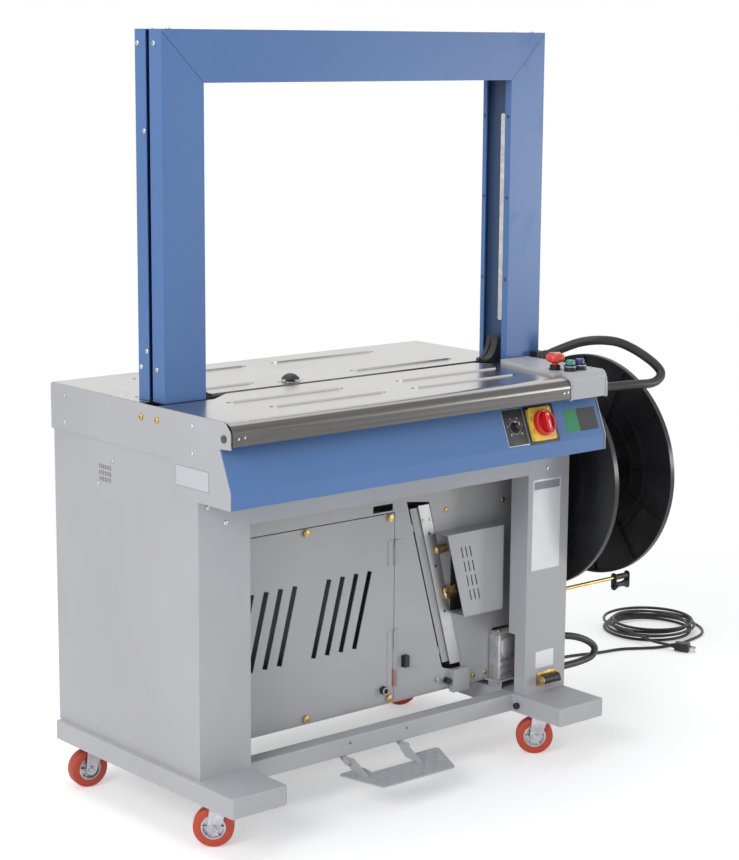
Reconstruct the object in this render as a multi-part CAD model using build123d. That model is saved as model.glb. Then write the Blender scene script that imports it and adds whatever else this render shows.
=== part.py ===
from build123d import *
import math
import os

# Arch strapping machine on castors: table, blue arch, strap reel, strap pool and controls.
# Millimetres, +Z up, the operator's side at -Y and the strap reel at +X. The shapes are written
# with x = 0 and y = 0 at the middle of the arch and z = 0 on the floor. The last lines move them
# so that the origin is the middle of the footprint, on the floor.

os.makedirs("parts", exist_ok=True)

# Clearances
GAP = 0.3
FIT = 0.06
SHEET = 2.0
THIN_SHEET = 1.5

# Arch
arch_inner_width = 800.0
arch_inner_height = 601.0
arch_leg_width = 96.0
arch_beam_height = 99.0
arch_front_y = -43.0
arch_split_front_y = -4.0
arch_split_rear_y = 8.0
arch_rear_y = 43.0
arch_front_return = 18.0
arch_rear_return = 11.0

# Table and body
table_top = 842.0
body_left = -arch_inner_width / 2 - 119.0
body_right = arch_inner_width / 2 + 60.5
body_rear = 316.0
leg_front_y = -180.0
leg_width = 121.0
leg_flange = 51.0
leg_flange_cut = 32.0
leg_cut_top = 265.0
side_top = table_top - SHEET - GAP
upper_plate_rear = 323.0
upper_plate_depth = 94.0
upper_plate_step_y = -100.0
table_rear = 321.0
strap_slot_front = -12.0
strap_slot_rear = 6.0
lip_front_y = -289.0
lip_bottom = 798.0
lip_radius = 22.0

# Feet, cross bars and castors
foot_bottom = 97.0
foot_height = 39.0
foot_width = 131.0
foot_front_y = -300.0
foot_rear_y = 312.0
foot_wall = 3.0
left_foot_x = body_left - 13.0
right_foot_x = body_right - 131.5
bar_size = 38.0
front_bar_y = -155.0
rear_bar_y = 236.0
wheel_diameter = 80.0
wheel_width = 28.0
castor_trail = 25.0
castor_front_y = -193.0
castor_rear_y = 254.0
castor_headings = {
    "front_left": 139.7,
    "front_right": 139.7,
    "rear_left": 171.6,
    "rear_right": 150.0,
}
axle_radius = 5.0
kingpin_radius = 6.0

# Blue control fascia
fascia_top_y = -251.0
fascia_top = 789.0
fascia_front_y = -283.0
fascia_crease = 710.0
fascia_bottom = 679.0
fascia_right = body_right - 3.5

# Front panels
panel_y = -74.0
panel_bottom = 155.0
panel_top = 650.0
door_left = -391.0
door_seam = 57.0
door_top = 560.0
door_pin_y = -77.2
tray_z = 152.0
rail_bottom = 620.0
feed_tilt = 15.0
feed_rail_x = 142.0
feed_rail_z = 533.6
feed_rail_width = 32.0

# Reel
reel_y = -28.0
reel_z = 580.0
reel_radius = 250.0
reel_width = 176.0
reel_inner_x = body_right + 47.5
reel_outer_x = reel_inner_x + reel_width
reel_core_radius = 100.0
reel_shaft_radius = 12.5
flange_wall = 4.0

# Controls
box_right = body_right - 7.0
box_left = box_right - 104.5
box_top = 850.0
box_bottom = 795.0
box_rear_y = -50.0
estop_place = (box_left + 17.0, -224.0)
start_place = (box_left + 29.0, -257.0)
feed_place = (box_left + 58.0, -256.0)
lip_right = box_left - 0.5
estop_travel = 5.0
button_travel = 3.0
ball_place = (-130.0, 38.0)
ball_travel = 4.0
table_hinge = (-266.0, 811.0)
pedal_hinge = (-165.0, 89.0)
guide_arm_hinge = (30.0, 400.0)
guide_rod_place = (-150.0, 343.0)

# Mains cord and its coil
cord_diameter = 7.5
coil_centre = (body_right + 841.5, 329.0)
coil_heading = -40.3
coil_layers = 4
coil_arcs_per_layer = 6
coil_start_angle = -45.0
coil_end_angle = 2030.0
coil_radii = (140.0, 92.0, 119.0, 90.0, 125.0)
coil_layer_step = 8.4
last_run = 58.0

# Values worked out from the driving ones
arch_half = arch_inner_width / 2
arch_outer = arch_half + arch_leg_width
arch_inner_top = table_top + arch_inner_height
arch_top = arch_inner_top + arch_beam_height
foot_top = foot_bottom + foot_height
inner_left = body_left + SHEET
inner_right = body_right - SHEET
table_under = table_top - SHEET
upper_plate_edge = table_top - upper_plate_depth
wheel_radius = wheel_diameter / 2
cord_radius = cord_diameter / 2
cord_z = cord_radius + 0.2
foot_starts = {"left": left_foot_x, "right": right_foot_x}
castor_places = {
    "front_left": (left_foot_x + foot_width / 2, castor_front_y),
    "front_right": (right_foot_x + foot_width / 2, castor_front_y),
    "rear_left": (left_foot_x + foot_width / 2, castor_rear_y),
    "rear_right": (right_foot_x + foot_width / 2, castor_rear_y),
}
nodes = {}


# Helpers
def block(x0, x1, y0, y1, z0, z1):
    """A box between two corners."""
    return Pos((x0 + x1) / 2, (y0 + y1) / 2, (z0 + z1) / 2) * Box(x1 - x0, y1 - y0, z1 - z0)


def rod(start, direction, length, radius, bore=0.0):
    """A round bar, or a tube, from a point along a direction."""
    plane = Plane(origin=start, z_dir=direction)
    shape = extrude(plane * Circle(radius), length)
    if bore > 0:
        shape = shape - extrude(plane * Circle(bore), length)
    return shape


def plate_yz(points, x0, x1):
    """A plate with its outline in Y and Z, from x0 to x1."""
    face = make_face(Polyline(*points, close=True))
    return extrude(Plane.YZ.offset(x0) * face, x1 - x0)


def plate_xz(points, y0, y1):
    """A plate with its outline in X and Z, from y0 to y1."""
    face = make_face(Polyline(*points, close=True))
    return extrude(Plane.XZ.offset(-y1) * face, y1 - y0)


def plate_xy(points, z0, z1):
    """A plate with its outline in X and Y, from z0 to z1."""
    face = make_face(Polyline(*points, close=True))
    return extrude(Plane.XY.offset(z0) * face, z1 - z0)


def sheet_outline(points, thickness):
    """The closed outline of a folded sheet, whose other face lies to the right of the line."""
    beside = []
    count = len(points)
    for i, point in enumerate(points):
        before = Vector(*points[max(i - 1, 0)])
        here = Vector(*point)
        after = Vector(*points[min(i + 1, count - 1)])
        into = (here - before) if i > 0 else (after - here)
        out = (after - here) if i < count - 1 else into
        into, out = into.normalized(), out.normalized()
        normal_in = Vector(into.Y, -into.X)
        normal_out = Vector(out.Y, -out.X)
        middle = (normal_in + normal_out).normalized()
        reach = thickness / max(middle.dot(normal_in), 0.2)
        beside.append((here.X + middle.X * reach, here.Y + middle.Y * reach))
    return points + beside[::-1]


def joined(shapes):
    """Several touching shapes as one solid."""
    shapes = list(shapes)
    result = shapes[0]
    for shape in shapes[1:]:
        result = result + shape
    return result


def group(shapes):
    """Separate solids that share one node."""
    solids = []
    for shape in shapes:
        solids.extend(shape.solids())
    return Compound(solids)


def drill(shape, places, direction, radius, length):
    """Round holes through a shape, each from its place along a direction."""
    for place in places:
        shape = shape - rod(place, direction, length, radius)
    return shape


def screw(place, direction, head, height, shank=2.0, length=6.0):
    """A round-headed screw seated at its place, with its shank against the direction."""
    out = Vector(*direction)
    seat = Vector(*place)
    dome = rod(seat, out, height, head)
    dome = fillet(dome.edges().sort_by(lambda e: (e.center() - seat).dot(out))[-1], height * 0.6)
    return dome + rod(seat - out * length, out, length + 0.1, shank)


# Screws, by the sheet that they hold, with the way that their heads point
nickel_head, nickel_height = 5.0, 2.6
brass_head, brass_height = 5.6, 3.0
left_way, right_way, front_way, up_way = (-1, 0, 0), (1, 0, 0), (0, -1, 0), (0, 0, 1)
upper_plate_screws = [(272, 819), (272, 766), (-165, 820), (-165, 768)]
upper_plate_bolts = [(0.5, 815), (-52, 815)]
grille_screws = [(106, 711), (158, 659)]
leg_screws_left = [(body_left + 22, 666), (body_left + 63, 631)]
leg_screws_right = [(body_right - 64.5, 629)]
tray_screws = [(body_right - 174.5, 166), (body_right - 138.5, 167)]
door_screws = [(-180, 551), (42, 552), (-180, 164), (43, 164)]
header_screws = [(200, 547), (367, 547)]
arch_gap_screws = [arch_inner_top - 89, table_top + 95.5]
arch_side_screws = [arch_top - 26, table_top + 63]

# Feet: channels open at the bottom, with the castor plates and kingpins welded in
plate_half = 46.0
plate_thickness = 4.0
web_under = foot_top - foot_wall
raceway_height = 5.0
crown_top = web_under - plate_thickness - raceway_height - GAP
crown_thickness = 5.0
pin_head_height = 4.0


def foot(side):
    """One foot with its two castor plates."""
    x0 = foot_starts[side]
    x1 = x0 + foot_width
    body = block(x0, x1, foot_front_y, foot_rear_y, foot_bottom, foot_top)
    body = fillet(body.edges().filter_by(Axis.Z), 5)
    body = fillet(body.faces().sort_by(Axis.Z)[-1].edges(), 2.5)
    body = body - block(
        x0 + foot_wall,
        x1 - foot_wall,
        foot_front_y + foot_wall,
        foot_rear_y - foot_wall,
        foot_bottom,
        web_under,
    )
    for end in ("front", "rear"):
        cx, cy = castor_places[f"{end}_{side}"]
        plate = block(
            cx - plate_half,
            cx + plate_half,
            cy - plate_half,
            cy + plate_half,
            web_under - plate_thickness,
            web_under,
        )
        race_top = web_under - plate_thickness
        race = rod((cx, cy, race_top - raceway_height), up_way, raceway_height, 26)
        pin_bottom = crown_top - crown_thickness - GAP - pin_head_height
        pin = rod((cx, cy, pin_bottom), up_way, race_top - pin_bottom, kingpin_radius)
        head = rod((cx, cy, pin_bottom), up_way, pin_head_height, 10)
        body = body + plate + race + pin + head
    return body


nodes["left_foot"] = foot("left")
nodes["right_foot"] = foot("right")

# Cross bars between the feet, with the lugs that carry the pedal
bar_left = left_foot_x + foot_width
bar_right = right_foot_x
bar_top = foot_top - 0.5
lug_thickness = 4.0
lug_places = (-140.0, 12.0)
pedal_pin_radius = 4.0


def cross_bar(y0):
    """A square tube between the inner faces of the feet."""
    outer = block(bar_left, bar_right, y0, y0 + bar_size, bar_top - bar_size, bar_top)
    outer = fillet(outer.edges().filter_by(Axis.X), 3)
    inner = block(
        bar_left,
        bar_right,
        y0 + SHEET,
        y0 + bar_size - SHEET,
        bar_top - bar_size + SHEET,
        bar_top - SHEET,
    )
    return outer - inner


bar_under = bar_top - bar_size
front_bar = cross_bar(front_bar_y)
for lug_x in lug_places:
    lug = plate_yz(
        [
            (front_bar_y + 30, bar_under),
            (front_bar_y + 2, bar_under),
            (pedal_hinge[0] - 7, bar_under - 1),
            (pedal_hinge[0] - 8, pedal_hinge[1] - 4),
            (pedal_hinge[0], pedal_hinge[1] - 9),
            (pedal_hinge[0] + 8, pedal_hinge[1] - 8),
        ],
        lug_x - lug_thickness / 2,
        lug_x + lug_thickness / 2,
    )
    lug = drill(
        lug,
        [(lug_x - lug_thickness, *pedal_hinge)],
        right_way,
        pedal_pin_radius + FIT,
        2 * lug_thickness,
    )
    front_bar = front_bar + lug
front_bar = drill(front_bar, [(-127, front_bar_y - 1, 122), (26, front_bar_y - 1, 122)], (0, 1, 0), 2.5, 4)
nodes["cross_bars"] = group([front_bar, cross_bar(rear_bar_y)])

# Castors
fork_gap = 36.0
fork_plate = 3.0
castor_crown = 30.0
hub_width = 34.0
hub_radius = 10.0
wheel_rim = 24.0


def castor(name):
    """The fork with its axle, and the wheel, of one castor."""
    cx, cy = castor_places[name]
    crown = rod((0, 0, crown_top - crown_thickness), up_way, crown_thickness, castor_crown)
    side = [
        (-16, crown_top - crown_thickness / 2),
        (27, crown_top - crown_thickness / 2),
        (castor_trail + 12, wheel_radius + 4),
        (castor_trail + 9, wheel_radius - 9),
        (castor_trail - 9, wheel_radius - 9),
        (castor_trail - 13, wheel_radius + 2),
    ]
    legs = []
    for sign in (-1, 1):
        inner = sign * fork_gap / 2
        outer = sign * (fork_gap / 2 + fork_plate)
        legs.append(plate_xz(side, min(inner, outer), max(inner, outer)))
    fork = joined([crown, *legs])
    reach = fork_gap / 2 + fork_plate
    axle_start = (castor_trail, -reach - 6, wheel_radius)
    fork = drill(fork, [axle_start], (0, 1, 0), axle_radius, 2 * reach + 12)
    fork = drill(fork, [(0, 0, crown_top - 20)], up_way, kingpin_radius + FIT, 40)
    axle = rod((castor_trail, -reach, wheel_radius), (0, 1, 0), 2 * reach, axle_radius)
    heads = []
    for sign in (-1, 1):
        seat = (castor_trail, sign * reach, wheel_radius)
        heads.append(rod(seat, (0, sign, 0), 4.5, 8))
    axle = joined([axle, *heads])
    hub = rod((castor_trail, -hub_width / 2, wheel_radius), (0, 1, 0), hub_width, hub_radius)
    web = rod((castor_trail, -4, wheel_radius), (0, 1, 0), 8, wheel_rim - 2)
    rim = rod(
        (castor_trail, -wheel_width / 2 + 1, wheel_radius),
        (0, 1, 0),
        wheel_width - 2,
        wheel_rim,
        wheel_rim - 3,
    )
    core = joined([hub, web, rim])
    core = drill(
        core, [(castor_trail, -hub_width, wheel_radius)], (0, 1, 0), axle_radius + FIT, 2 * hub_width
    )
    tyre = rod(
        (castor_trail, -wheel_width / 2, wheel_radius), (0, 1, 0), wheel_width, wheel_radius, wheel_rim
    )
    circles = tyre.edges().filter_by(GeomType.CIRCLE)
    outer_edges = [edge for edge in circles if edge.radius > wheel_radius - 1]
    tyre = fillet(outer_edges, 3)
    place = Pos(cx, cy, 0) * Rot(0, 0, castor_headings[name])
    return group([place * fork, place * axle]), group([place * core, place * tyre])


for name in castor_places:
    nodes[f"castor_fork_{name}"], nodes[f"castor_wheel_{name}"] = castor(name)

# Side panels, each one folded sheet with its front leg
leg_top = 702.0
reel_bolts = [(reel_y + a, reel_z + b) for a in (-38, 38) for b in (-45, 45)]
grille_rows, grille_columns = 3, 7


def side_panel(side):
    """The side sheet, the leg front and the flange inside the opening."""
    sign = 1 if side == "left" else -1
    outer = body_left if side == "left" else body_right
    inner = outer + sign * SHEET
    leg_end = outer + sign * leg_width

    def span(a, b, *rest):
        return block(min(a, b), max(a, b), *rest)

    sheet = span(outer, inner, leg_front_y, body_rear, foot_top, side_top)
    front = span(outer, leg_end, leg_front_y, leg_front_y + SHEET, foot_top, leg_top)
    flange_end = leg_front_y + leg_flange
    flange = span(leg_end - sign * SHEET, leg_end, leg_front_y, flange_end, foot_top, leg_top)
    rear = span(outer, outer + sign * 30, body_rear - SHEET, body_rear, foot_top, side_top)
    panel = joined([sheet, front, flange, rear])
    if side == "left":
        for row in range(grille_rows):
            for column in range(grille_columns):
                y0 = 111 + column * 6.2
                z0 = 667 + row * 12.5
                panel = panel - block(outer - 1, inner + 1, y0, y0 + 3.2, z0, z0 + 9)
        holes = [(outer - 1, y, z) for y, z in grille_screws]
        panel = drill(panel, holes, right_way, 2.0, 5)
        panel = drill(panel, [(x, leg_front_y - 1, z) for x, z in leg_screws_left], (0, 1, 0), 2.0, 5)
    else:
        cut_y = leg_front_y + leg_flange_cut
        panel = panel - block(leg_end - 1, leg_end + 3, cut_y, cut_y + 40, foot_top, leg_cut_top)
        panel = drill(panel, [(x, leg_front_y - 1, z) for x, z in leg_screws_right], (0, 1, 0), 2.0, 5)
        panel = drill(panel, [(inner - 1, y, z) for y, z in reel_bolts], right_way, 4.0, 5)
    upper = [(inner - sign * 3, y, z) for y, z in upper_plate_screws]
    bolts = [(inner - sign * 3, y, z) for y, z in upper_plate_bolts]
    way = (sign, 0, 0)
    panel = drill(panel, upper, way, 2.0, 5)
    panel = drill(panel, bolts, way, 3.0, 5)
    return panel


nodes["left_side_panel"] = side_panel("left")
nodes["right_side_panel"] = side_panel("right")

# Upper plates over the side panels
upper_outline = [
    (upper_plate_rear, upper_plate_edge),
    (upper_plate_step_y, upper_plate_edge),
    (upper_plate_step_y, fascia_bottom),
    (fascia_front_y, fascia_bottom),
    (fascia_front_y, fascia_crease + 1),
    (fascia_top_y, fascia_top + 1),
    (-285, table_top - 49.5),
    (-285, table_top - 18),
    (-267, table_top - 0.5),
    (upper_plate_rear - 5, table_top - 0.5),
    (upper_plate_rear, table_top - 4),
]


def upper_plate(x0, way):
    """One plate, with the holes of its screws."""
    plate = plate_yz(upper_outline, x0, x0 + SHEET)
    corner = [
        edge
        for edge in plate.edges().filter_by(Axis.X)
        if abs(edge.center().Y + 285) < 20 and edge.center().Z > table_top - 22
    ]
    plate = fillet(corner, 9)
    start = x0 - 1 if way > 0 else x0 + SHEET + 1
    holes = [(start, y, z) for y, z in upper_plate_screws]
    bolts = [(start, y, z) for y, z in upper_plate_bolts]
    plate = drill(plate, holes, (way, 0, 0), 2.0, 5)
    plate = drill(plate, bolts, (way, 0, 0), 3.0, 5)
    return drill(plate, [(start, *table_hinge)], (way, 0, 0), 3.0 + FIT, 5)


nodes["upper_plates"] = group([upper_plate(body_left - SHEET, 1), upper_plate(body_right, 1)])

# Blue control fascia
fascia_line = [
    (-222, fascia_top),
    (fascia_top_y, fascia_top),
    (fascia_front_y, fascia_crease),
    (fascia_front_y, fascia_bottom),
    (leg_front_y - GAP, fascia_bottom),
]
fascia = plate_yz(sheet_outline(fascia_line[::-1], SHEET), body_left + GAP, fascia_right)
slope = Vector(fascia_front_y - fascia_top_y, fascia_crease - fascia_top)


def on_slope(x, along):
    """A plane on the sloped face, with its X along the machine and its Y up the slope."""
    down = slope.normalized()
    origin = (x, fascia_top_y + down.X * along, fascia_top + down.Y * along)
    return Plane(origin=origin, x_dir=(1, 0, 0), z_dir=(0, down.Y, -down.X))


dial_place = on_slope(211, 42)
switch_place = on_slope(280, 43)
for place, radius in ((dial_place, 4.0), (switch_place, 6.0)):
    fascia = fascia - extrude(place * Circle(radius), 10, both=True)
nodes["blue_fascia"] = fascia

# Fascia plates and controls
dial_plate = extrude(dial_place * RectangleRounded(58, 78, 2), 1.2)
switch_plate = extrude(switch_place * Pos(6, 0) * RectangleRounded(84, 80, 2), 1.2)
dial_plate = dial_plate - extrude(dial_place * Circle(4.0), 10, both=True)
switch_plate = switch_plate - extrude(switch_place * Circle(6.0), 10, both=True)
nodes["fascia_plates"] = group([dial_plate, switch_plate])

switch_base_height = 10.0
base_plane = switch_place.offset(1.2)
switch_base = extrude(base_plane * RectangleRounded(64, 70, 5), switch_base_height, taper=4)
switch_base = switch_base - extrude(base_plane * Circle(6.0), 20, both=True)
nodes["switch_base"] = switch_base

knob_plane = Plane(
    base_plane.origin + base_plane.z_dir * (switch_base_height + GAP),
    x_dir=(1, 0, 0),
    z_dir=base_plane.z_dir,
)
switch_knob = extrude(knob_plane * Circle(27), 12)
scoop = extrude(knob_plane.offset(5) * Circle(21), 20)
handle = extrude(knob_plane * Rectangle(11, 44), 20)
stem = extrude(knob_plane * Circle(6.0 - FIT), -(switch_base_height + GAP + 1.2 + SHEET))
nodes["switch_knob"] = (switch_knob - scoop) + handle + stem

dial_seat = dial_place.offset(1.2 + GAP)
dial_knob = extrude(dial_seat * Circle(10), 14, taper=3)
dial_pointer = extrude(dial_seat * Pos(0, 9) * Rectangle(3, 6), 5)
dial_stem = extrude(dial_seat * Circle(4.0 - FIT), -(1.2 + GAP + SHEET))
nodes["dial_knob"] = dial_knob + dial_pointer + dial_stem

# Rail under the fascia, between the legs
rail_left = body_left + leg_width + GAP
rail_right = body_right - leg_width - GAP
rail_face = block(rail_left, rail_right, leg_front_y, leg_front_y + SHEET, rail_bottom, leg_top - 2)
rail_lip = block(rail_left, rail_right, leg_front_y, leg_front_y + 20, rail_bottom, rail_bottom + SHEET)
nodes["fascia_rail"] = rail_face + rail_lip

# Rear panel and base tray
rear_panel_back = body_rear - SHEET
nodes["rear_panel"] = block(
    inner_left + GAP, inner_right - GAP, rear_panel_back - SHEET, rear_panel_back, tray_z, 800
)
panel_back = panel_y + SHEET
tray_left = inner_left + GAP
tray_right = inner_right - GAP
tray_rear = rear_panel_back - SHEET - GAP
tray = joined(
    [
        block(tray_left, tray_right, panel_back, tray_rear, tray_z - SHEET, tray_z),
        block(tray_left, tray_right, panel_back, panel_back + SHEET, tray_z - SHEET, tray_z + 23),
        block(tray_left, tray_left + SHEET, panel_back, tray_rear, foot_top, tray_z),
        block(tray_right - SHEET, tray_right, panel_back, tray_rear, foot_top, tray_z),
    ]
)
nodes["base_tray"] = drill(tray, [(x, panel_back - 1, z) for x, z in tray_screws], (0, 1, 0), 2.0, 5)

# Door hinges: the pin and two knuckles on the panel, one knuckle on the door
knuckle_radius = 3.0
hinge_pin_radius = 1.6
hinge_heights = [(187.0, 310.0), (450.0, 503.0)]
leaf_thickness = 1.5
door_right = door_seam - 1.0
frame_left = door_seam + 1.0
pin_x = door_seam + 0.25
door_front_y = panel_y - GAP


def panel_hinge(z0, z1):
    """The pin, the outer knuckles and the leaf on the panel."""
    third = (z1 - z0) / 3
    leaf = block(frame_left + 2.6, frame_left + 19, panel_y - leaf_thickness, panel_y, z0, z1)
    parts = [leaf, rod((pin_x, door_pin_y, z0), up_way, z1 - z0, hinge_pin_radius)]
    for start, end in ((z0, z0 + third), (z1 - third, z1)):
        parts.append(rod((pin_x, door_pin_y, start), up_way, end - start, knuckle_radius))
        parts.append(block(pin_x, frame_left + 2.6, door_pin_y, panel_y - 0.1, start, end))
    return joined(parts)


def door_hinge(z0, z1):
    """The middle knuckle and the leaf on the door."""
    third = (z1 - z0) / 3
    start = z0 + third + GAP
    length = third - 2 * GAP
    leaf = block(door_right - 17, door_right - 3, door_front_y - leaf_thickness, door_front_y, z0, z1)
    bridge = block(door_right - 3, pin_x, door_pin_y, door_front_y, start, start + length)
    knuckle = rod((pin_x, door_pin_y, start), up_way, length, knuckle_radius)
    bore = rod((pin_x, door_pin_y, start - 1), up_way, length + 2, hinge_pin_radius + FIT)
    return joined([leaf, bridge, knuckle]) - bore


# Centre panel: header over the door, stile beside it and the right part with the feed opening
stile_right = door_left - 1.5
header_bottom = door_top + 2.0
cut_left = body_right - 118.5
cut_top = 265.0
panel_outline = [
    (tray_left, panel_bottom),
    (stile_right, panel_bottom),
    (stile_right, header_bottom),
    (frame_left, header_bottom),
    (frame_left, panel_bottom),
    (cut_left, panel_bottom),
    (cut_left, cut_top),
    (tray_right, cut_top),
    (tray_right, panel_top),
    (tray_left, panel_top),
]
feed_corners = [(89.5, 579), (195, 200), (252, 185), (152.5, 570.5)]
feed_opening = plate_xz(feed_corners, panel_y - 5, panel_back + 5)
feed_opening = fillet(feed_opening.edges().filter_by(Axis.Y).sort_by(Axis.Z)[1], 15)
centre_panel = plate_xz(panel_outline, panel_y, panel_back) - feed_opening
centre_panel = centre_panel - block(-2, 52, panel_y - 1, panel_back + 1, 566, 581)
centre_panel = centre_panel + block(cut_left, tray_right, panel_y, panel_y + 24, cut_top - SHEET, cut_top)
panel_holes = [(x, panel_y - 1, z) for x, z in tray_screws + header_screws]
centre_panel = drill(centre_panel, panel_holes, (0, 1, 0), 2.0, 5)
centre_panel = joined([centre_panel, *[panel_hinge(z0, z1) for z0, z1 in hinge_heights]])
nodes["centre_panel"] = centre_panel

# Strap pool door, with its slanted windows, captive screws and knob
window_top, window_bottom = 446.0, 287.0
window_shift = 41.0
window_width = 13.0
window_starts = [-206.0, -242.3, -278.6, -315.0, -118.0, -82.0, -46.0, -10.0]
door = block(door_left, door_right, door_front_y, door_front_y + SHEET, panel_bottom + 1, door_top)
window_rise = window_top - window_bottom
window_angle = math.degrees(math.atan2(window_rise, window_shift))
window_length = math.hypot(window_rise, window_shift)
for start in window_starts:
    middle = (start - window_shift / 2, 0, window_bottom + window_rise / 2)
    plane = Plane(origin=middle, x_dir=(1, 0, 0), z_dir=(0, -1, 0))
    slot = plane * Rot(0, 0, window_angle) * Rectangle(window_length, window_width)
    door = door - extrude(slot, 100)
door_parts = [door, *[door_hinge(z0, z1) for z0, z1 in hinge_heights]]
for x, z in door_screws:
    seat = (x, door_front_y, z)
    door_parts.append(rod(seat, front_way, 5, 7))
door_parts.append(rod((27, door_front_y, 184), front_way, 12, 8))
nodes["pool_door"] = joined(door_parts)

# Strap pool behind the door
pool_front = panel_back + SHEET + GAP
pool_outer = (door_left + 3, door_right - 4, pool_front, pool_front + 62, tray_z, door_top - 4)
pool_x0, pool_x1, pool_y0, pool_y1, pool_z0, pool_z1 = pool_outer
nodes["strap_pool"] = block(*pool_outer) - block(
    pool_x0 + SHEET, pool_x1 - SHEET, pool_y0 - 1, pool_y1 - SHEET, pool_z0 + SHEET, pool_z1 - SHEET
)

# Inclined feed rail in the opening of the panel
rail_slant = math.tan(math.radians(feed_tilt))
feed_front_y = panel_y - 4.0
feed_depth = 44.0
feed_top, feed_low = 567.0, 206.0


def feed_x(z):
    """The middle of the feed rail at a height."""
    return feed_rail_x + (feed_rail_z - z) * rail_slant


def slanted(a0, a1, y0, y1, z0, z1):
    """A plate between two heights that follows the feed rail, a0 to a1 from its middle."""
    points = [
        (feed_x(z0) + a0, z0),
        (feed_x(z0) + a1, z0),
        (feed_x(z1) + a1, z1),
        (feed_x(z1) + a0, z1),
    ]
    return plate_xz(points, y0, y1)


half_rail = feed_rail_width / 2 - 1
feed_rear_y = feed_front_y + feed_depth
feed_rail = joined(
    [
        slanted(-half_rail, half_rail, feed_front_y, feed_front_y + SHEET, feed_low, feed_top),
        slanted(-half_rail, -half_rail + SHEET, feed_front_y, feed_rear_y, feed_low, feed_top),
        slanted(half_rail - SHEET, half_rail, feed_front_y, feed_rear_y, feed_low, feed_top),
    ]
)
for z in (232.0, 512.0):
    feed_rail = feed_rail + slanted(-44, 40, panel_back, panel_back + SHEET, z, z + 16)
inner_half = half_rail - SHEET
feed_rail = feed_rail - slanted(
    -inner_half, inner_half, feed_front_y + SHEET, feed_rear_y + 5, feed_low - 1, feed_top + 1
)
rail_hole_heights = [503.0, 430.0, 327.0]
rail_screw_heights = [feed_rail_z, 289.7]
rail_screws = [(feed_x(z) + side, z) for z in rail_screw_heights for side in (-10, 10)]
rail_holes = [(feed_x(z), feed_front_y - 1, z) for z in rail_hole_heights]
feed_rail = drill(feed_rail, rail_holes, (0, 1, 0), 3.0, 5)
feed_rail = drill(feed_rail, [(x, feed_front_y - 1, z) for x, z in rail_screws], (0, 1, 0), 1.6, 5)
nodes["feed_rail"] = feed_rail

# Vented cover over the feeder, open on the side of the rail
cover_left_top, cover_left_low = 170.0, 221.0
cover_right, cover_top, cover_low = 333.0, 502.0, 317.0
cover_front = panel_y - 40.0
cover = joined(
    [
        plate_xz(
            [
                (cover_left_top, cover_top),
                (cover_right, cover_top),
                (cover_right, cover_low),
                (cover_left_low, cover_low),
            ],
            cover_front,
            cover_front + THIN_SHEET,
        ),
        block(cover_right - THIN_SHEET, cover_right, cover_front, panel_y, cover_low, cover_top),
        block(cover_left_top, cover_right, cover_front, panel_y, cover_top - THIN_SHEET, cover_top),
        block(cover_left_low, cover_right, cover_front, panel_y, cover_low, cover_low + THIN_SHEET),
    ]
)
vent_rows, vent_columns = 4, 3
for row in range(vent_rows):
    for column in range(vent_columns):
        z = 459.0 - row * 32.0
        x = 212.5 + column * 12.0 + row * 8.6
        plane = Plane(origin=(x, 0, z), x_dir=(1, 0, 0), z_dir=(0, -1, 0))
        slot = plane * Rot(0, 0, 90 + feed_tilt) * SlotOverall(26, 3.2)
        cover = cover - extrude(slot, 200)
nodes["feeder_cover"] = cover

# Feeder: its plate with two fixed pins, the motor behind the panel, and the two rollers
roller_radius = 15.0
roller_bore = 4.0
feed_roller_place = (238.0, 420.0)
pinch_roller_place = (feed_roller_place[0] + 2 * roller_radius + 0.8, feed_roller_place[1])
unit_front = panel_y - 6.0
roller_front = unit_front - 26.0
unit = block(216, cover_right - 5, unit_front, panel_y, cover_low + 8, cover_top - 8)
unit = unit + block(290, cover_right - 5, unit_front - 24, unit_front, 370, 480)
pin_length = unit_front - roller_front + 3
for x, z in (feed_roller_place, pinch_roller_place):
    unit = unit + rod((x, unit_front, z), front_way, pin_length, roller_bore)
feeder_motor = rod((262, panel_back, 400), (0, 1, 0), 84, 32)
nodes["feed_unit"] = group([unit, feeder_motor])


def feeder_roller(place):
    """One roller, turning on its pin."""
    x, z = place
    start = (x, unit_front - GAP, z)
    return rod(start, front_way, unit_front - roller_front - 2 * GAP, roller_radius, roller_bore + FIT)


nodes["feed_roller"] = feeder_roller(feed_roller_place)
nodes["pinch_roller"] = feeder_roller(pinch_roller_place)

# Power unit on its small tray
unit_tray_z = tray_z + 2
unit_left, unit_right, unit_top = body_right - 130.5, body_right - 64.5, 262.0
power = joined(
    [
        block(unit_left, unit_left + 62, panel_y - 36, panel_y - 2, unit_tray_z, unit_top),
        block(unit_left - 12, unit_right, panel_y - 42, panel_y - GAP, unit_tray_z - SHEET, unit_tray_z),
        block(unit_left + 2, unit_left + 4, panel_y - 42, panel_y - GAP, foot_top, unit_tray_z),
        block(unit_right - 2, unit_right, panel_y - 42, panel_y - GAP, foot_top, unit_tray_z),
        block(unit_left + 3, unit_left + 58, panel_y - 38, panel_y - 4, unit_top, unit_top + SHEET),
    ]
)
nodes["power_unit"] = power

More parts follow.
